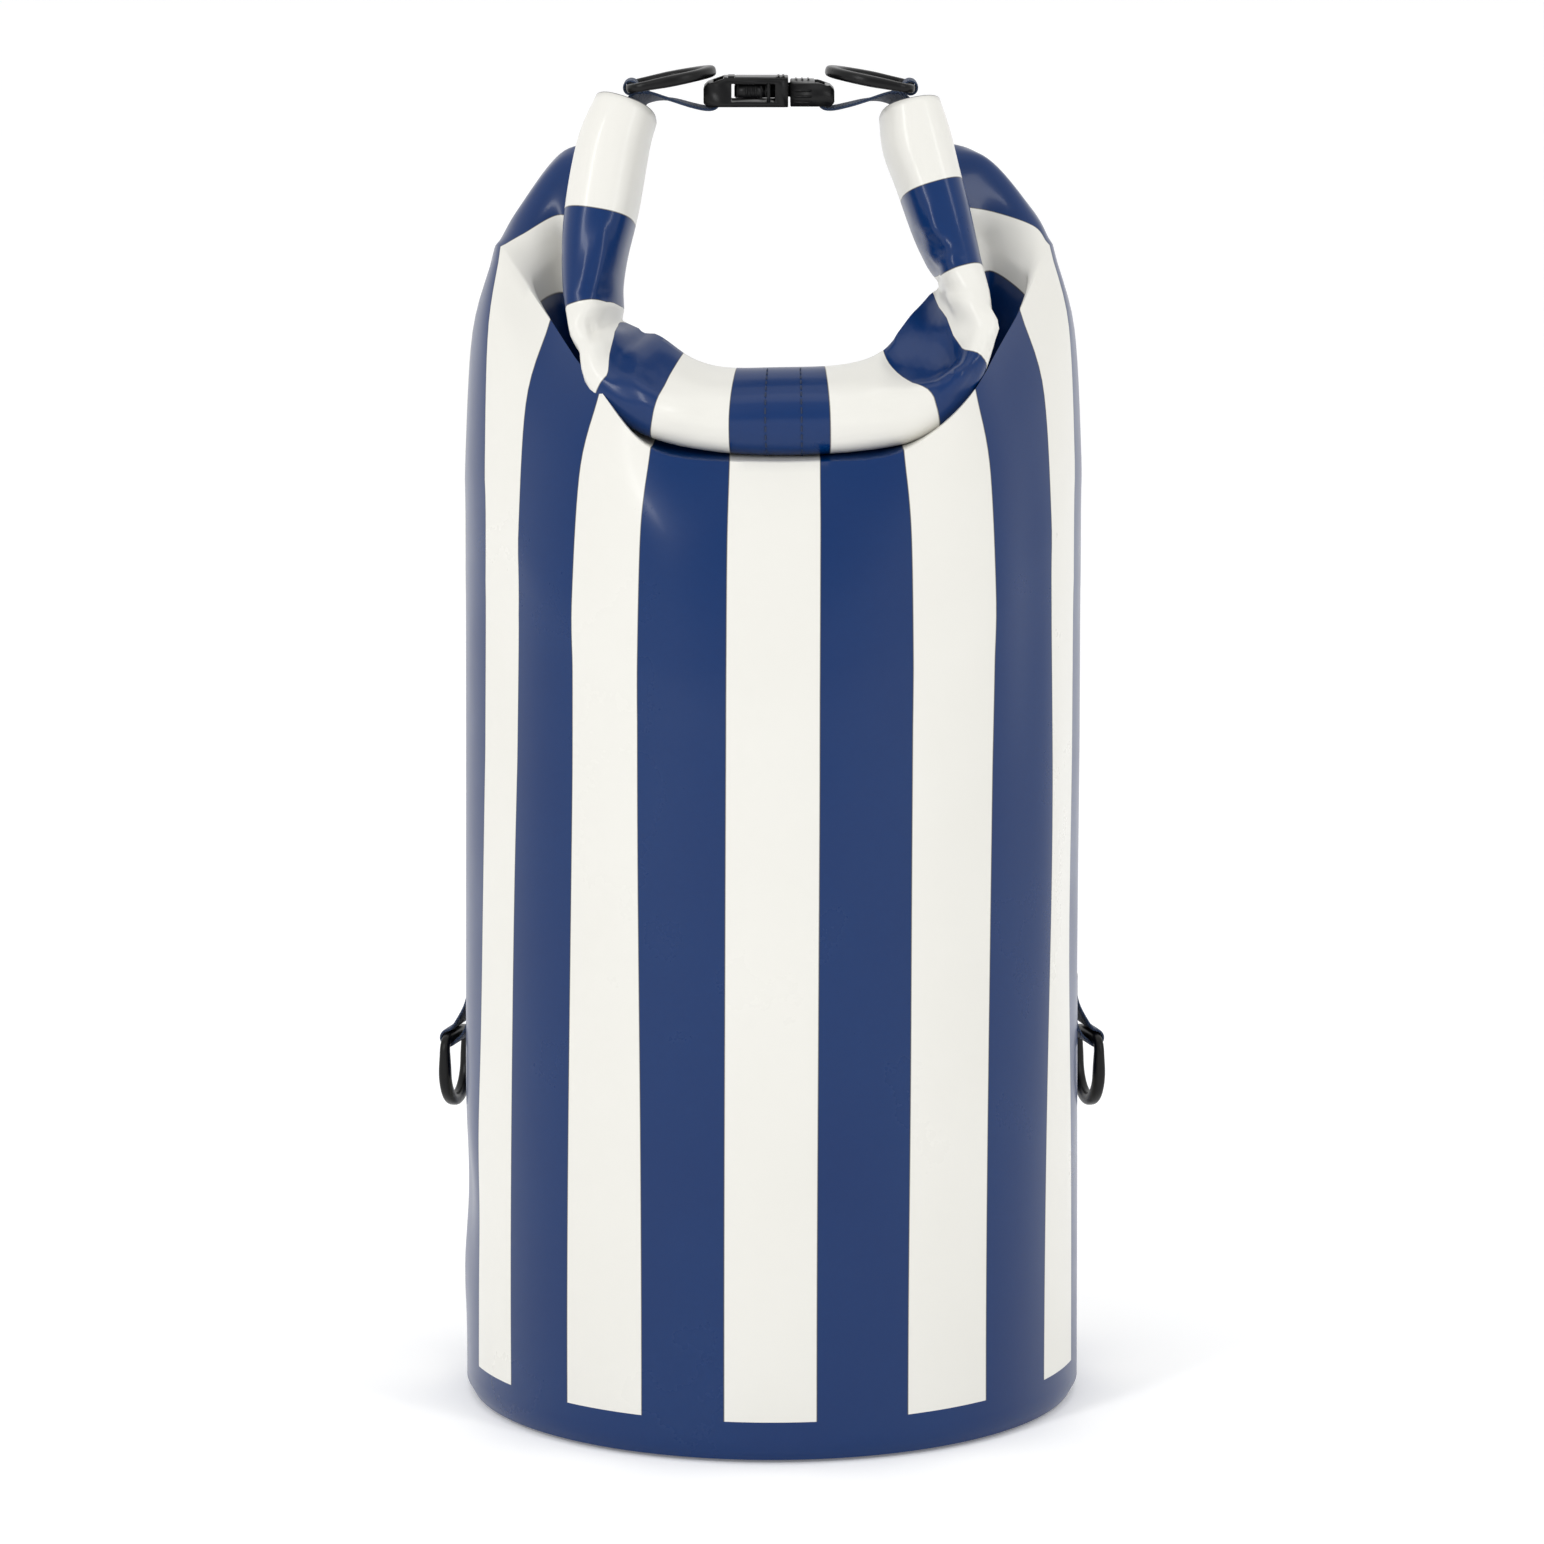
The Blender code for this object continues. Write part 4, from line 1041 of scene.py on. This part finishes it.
for node, body, radius, ribs in BUCKLE_PARTS:
    show(moulded(node, node + "_moulded", radius, ribs), body, "black_plastic", PLASTIC, node)

# ---------------------------------------------------------------- thread
def roll_run(offset):
    """A stitch line round the front of the roll, a set distance from the back seam."""
    where = ROLL.place_of(np.array(offset))
    angles = np.radians(np.linspace(112, -60, 40))
    points, above = (np.array([ROLL.point(where, a, 1.0, lift) for a in angles]) for lift in (0.0002, 0.0052))
    return points, above - points


def wall_run(points, away):
    """A stitch line on the wall through (angle, height) corners."""
    turns, heights = np.array(points).T
    steps = np.linspace(0, len(points) - 1, 24 * len(points))
    angle, z = (np.interp(steps, range(len(points)), values) for values in (turns, heights))
    out = np.column_stack([np.sin(angle), -np.cos(angle), np.zeros(len(angle))])
    return out * (body_radius(z)[:, None] + away) + UP * z[:, None], out


seam = stitches("roll_seam_stitches", [roll_run(-0.0048), roll_run(0.0076)])
show(seam, "sack", "navy_tarpaulin", THREAD)
# a box with a cross in it holds each side loop to its patch
BOX_REACH = 0.0078 / FOOT_RADIUS
BOX_LOW, BOX_HIGH = 0.15, 0.1556
THREAD_OUT = 0.0024
runs = []
for side, word in SIDES:
    a, b = side * SIDE_ANGLE - BOX_REACH, side * SIDE_ANGLE + BOX_REACH
    box = [(a, BOX_LOW), (b, BOX_LOW), (b, BOX_HIGH), (a, BOX_HIGH), (a, BOX_LOW)]
    for corners in (box, [(a, BOX_LOW), (b, BOX_HIGH)], [(b, BOX_LOW), (a, BOX_HIGH)]):
        runs.append(wall_run(corners, THREAD_OUT))
show(stitches("side_loop_stitches", runs), "sack", "webbing", THREAD)

# ---------------------------------------------------------------- stiffening strips in the roll's core
for word, shift in (("front", 1), ("rear", -1)):
    reach = np.linspace(-0.138, 0.138, 120)
    middle = ROLL.point(reach, 0.0, 0.0)
    inner = unit(ROLL.point(reach, math.pi / 2, 0.3) - ROLL.point(reach, -math.pi / 2, 0.3))
    path = middle + inner * (0.0011 * shift - 0.0022)
    strip = sweep("mouth_strip_" + word, path, inner, rounded(0.0075, 0.0006, 5.0, 20))
    show(turned_out(strip), "sack", "stiffener_strip", STRIP, "mouth_stiffener_" + word)


# ---------------------------------------------------------------- stage, light and camera
def make_stage():
    floor = mesh_object("floor", [(-8, -6, 0), (8, -6, 0), (8, 14, 0), (-8, 14, 0)], [(0, 1, 2, 3)])
    bpy.context.scene.collection.objects.link(floor)
    mat, look = new_material("pale_floor")
    look.set(Base_Color=(0.95, 0.95, 0.95), Emission_Color=(1, 1, 1), Emission_Strength=0.14)
    look.set(Roughness=0.8, Specular_IOR_Level=0.1)
    floor.data.materials.append(mat)


def area_light(name, place, size, power):
    """A rectangular lamp that faces the middle of the sack."""
    data = bpy.data.lights.new(name, "AREA")
    data.shape = "RECTANGLE"
    data.size, data.size_y = size
    data.energy = power
    lamp = bpy.data.objects.new(name, data)
    lamp.location = place
    lamp.rotation_euler = (Vector((0, 0, 0.3)) - Vector(place)).to_track_quat("-Z", "Y").to_euler()
    bpy.context.scene.collection.objects.link(lamp)


def make_lights():
    """A white room that is greyer in front of the sack, and three large lamps."""
    world = bpy.data.worlds.new("studio")
    world.use_nodes = True
    look = Shading(world.node_tree, world.node_tree.nodes["Background"])
    split = look.new("SeparateXYZ")
    look.feed(split.inputs[0], look.new("TexCoord").outputs["Generated"])
    front = look.spread(split.outputs["Y"], -0.75, -0.05, 0.0, 1.0)
    sky = look.spread(split.outputs["Z"], 0.35, 0.95, 0.0, 0.6)
    look.set(Color=look.mix(look.math("MAXIMUM", front, sky), (0.6, 0.61, 0.63), (1, 1, 1)), Strength=1.0)
    bpy.context.scene.world = world
    bpy.context.scene.view_settings.view_transform = "Standard"
    area_light("key", (-1.5, -2.0, 1.5), (0.35, 1.7), 20)
    area_light("fill", (1.7, -1.7, 1.3), (0.3, 1.7), 10)
    area_light("top", (0.0, -0.5, 2.4), (1.2, 1.0), 3)


# the camera: its place, how far it looks down in degrees, and its focal length in millimetres
CAMERA_PLACE = (0.0, -2.4, 0.6473)
CAMERA_DOWN = 9.49
CAMERA_LENS = 144.85


def make_camera():
    data = bpy.data.cameras.new("camera")
    data.sensor_width = 36.0
    data.lens = CAMERA_LENS
    data.clip_end = 50
    camera = bpy.data.objects.new("camera", data)
    camera.location = CAMERA_PLACE
    camera.rotation_euler = (math.radians(90 - CAMERA_DOWN), 0, 0)
    bpy.context.scene.collection.objects.link(camera)
    bpy.context.scene.camera = camera


make_stage()
make_lights()
make_camera()
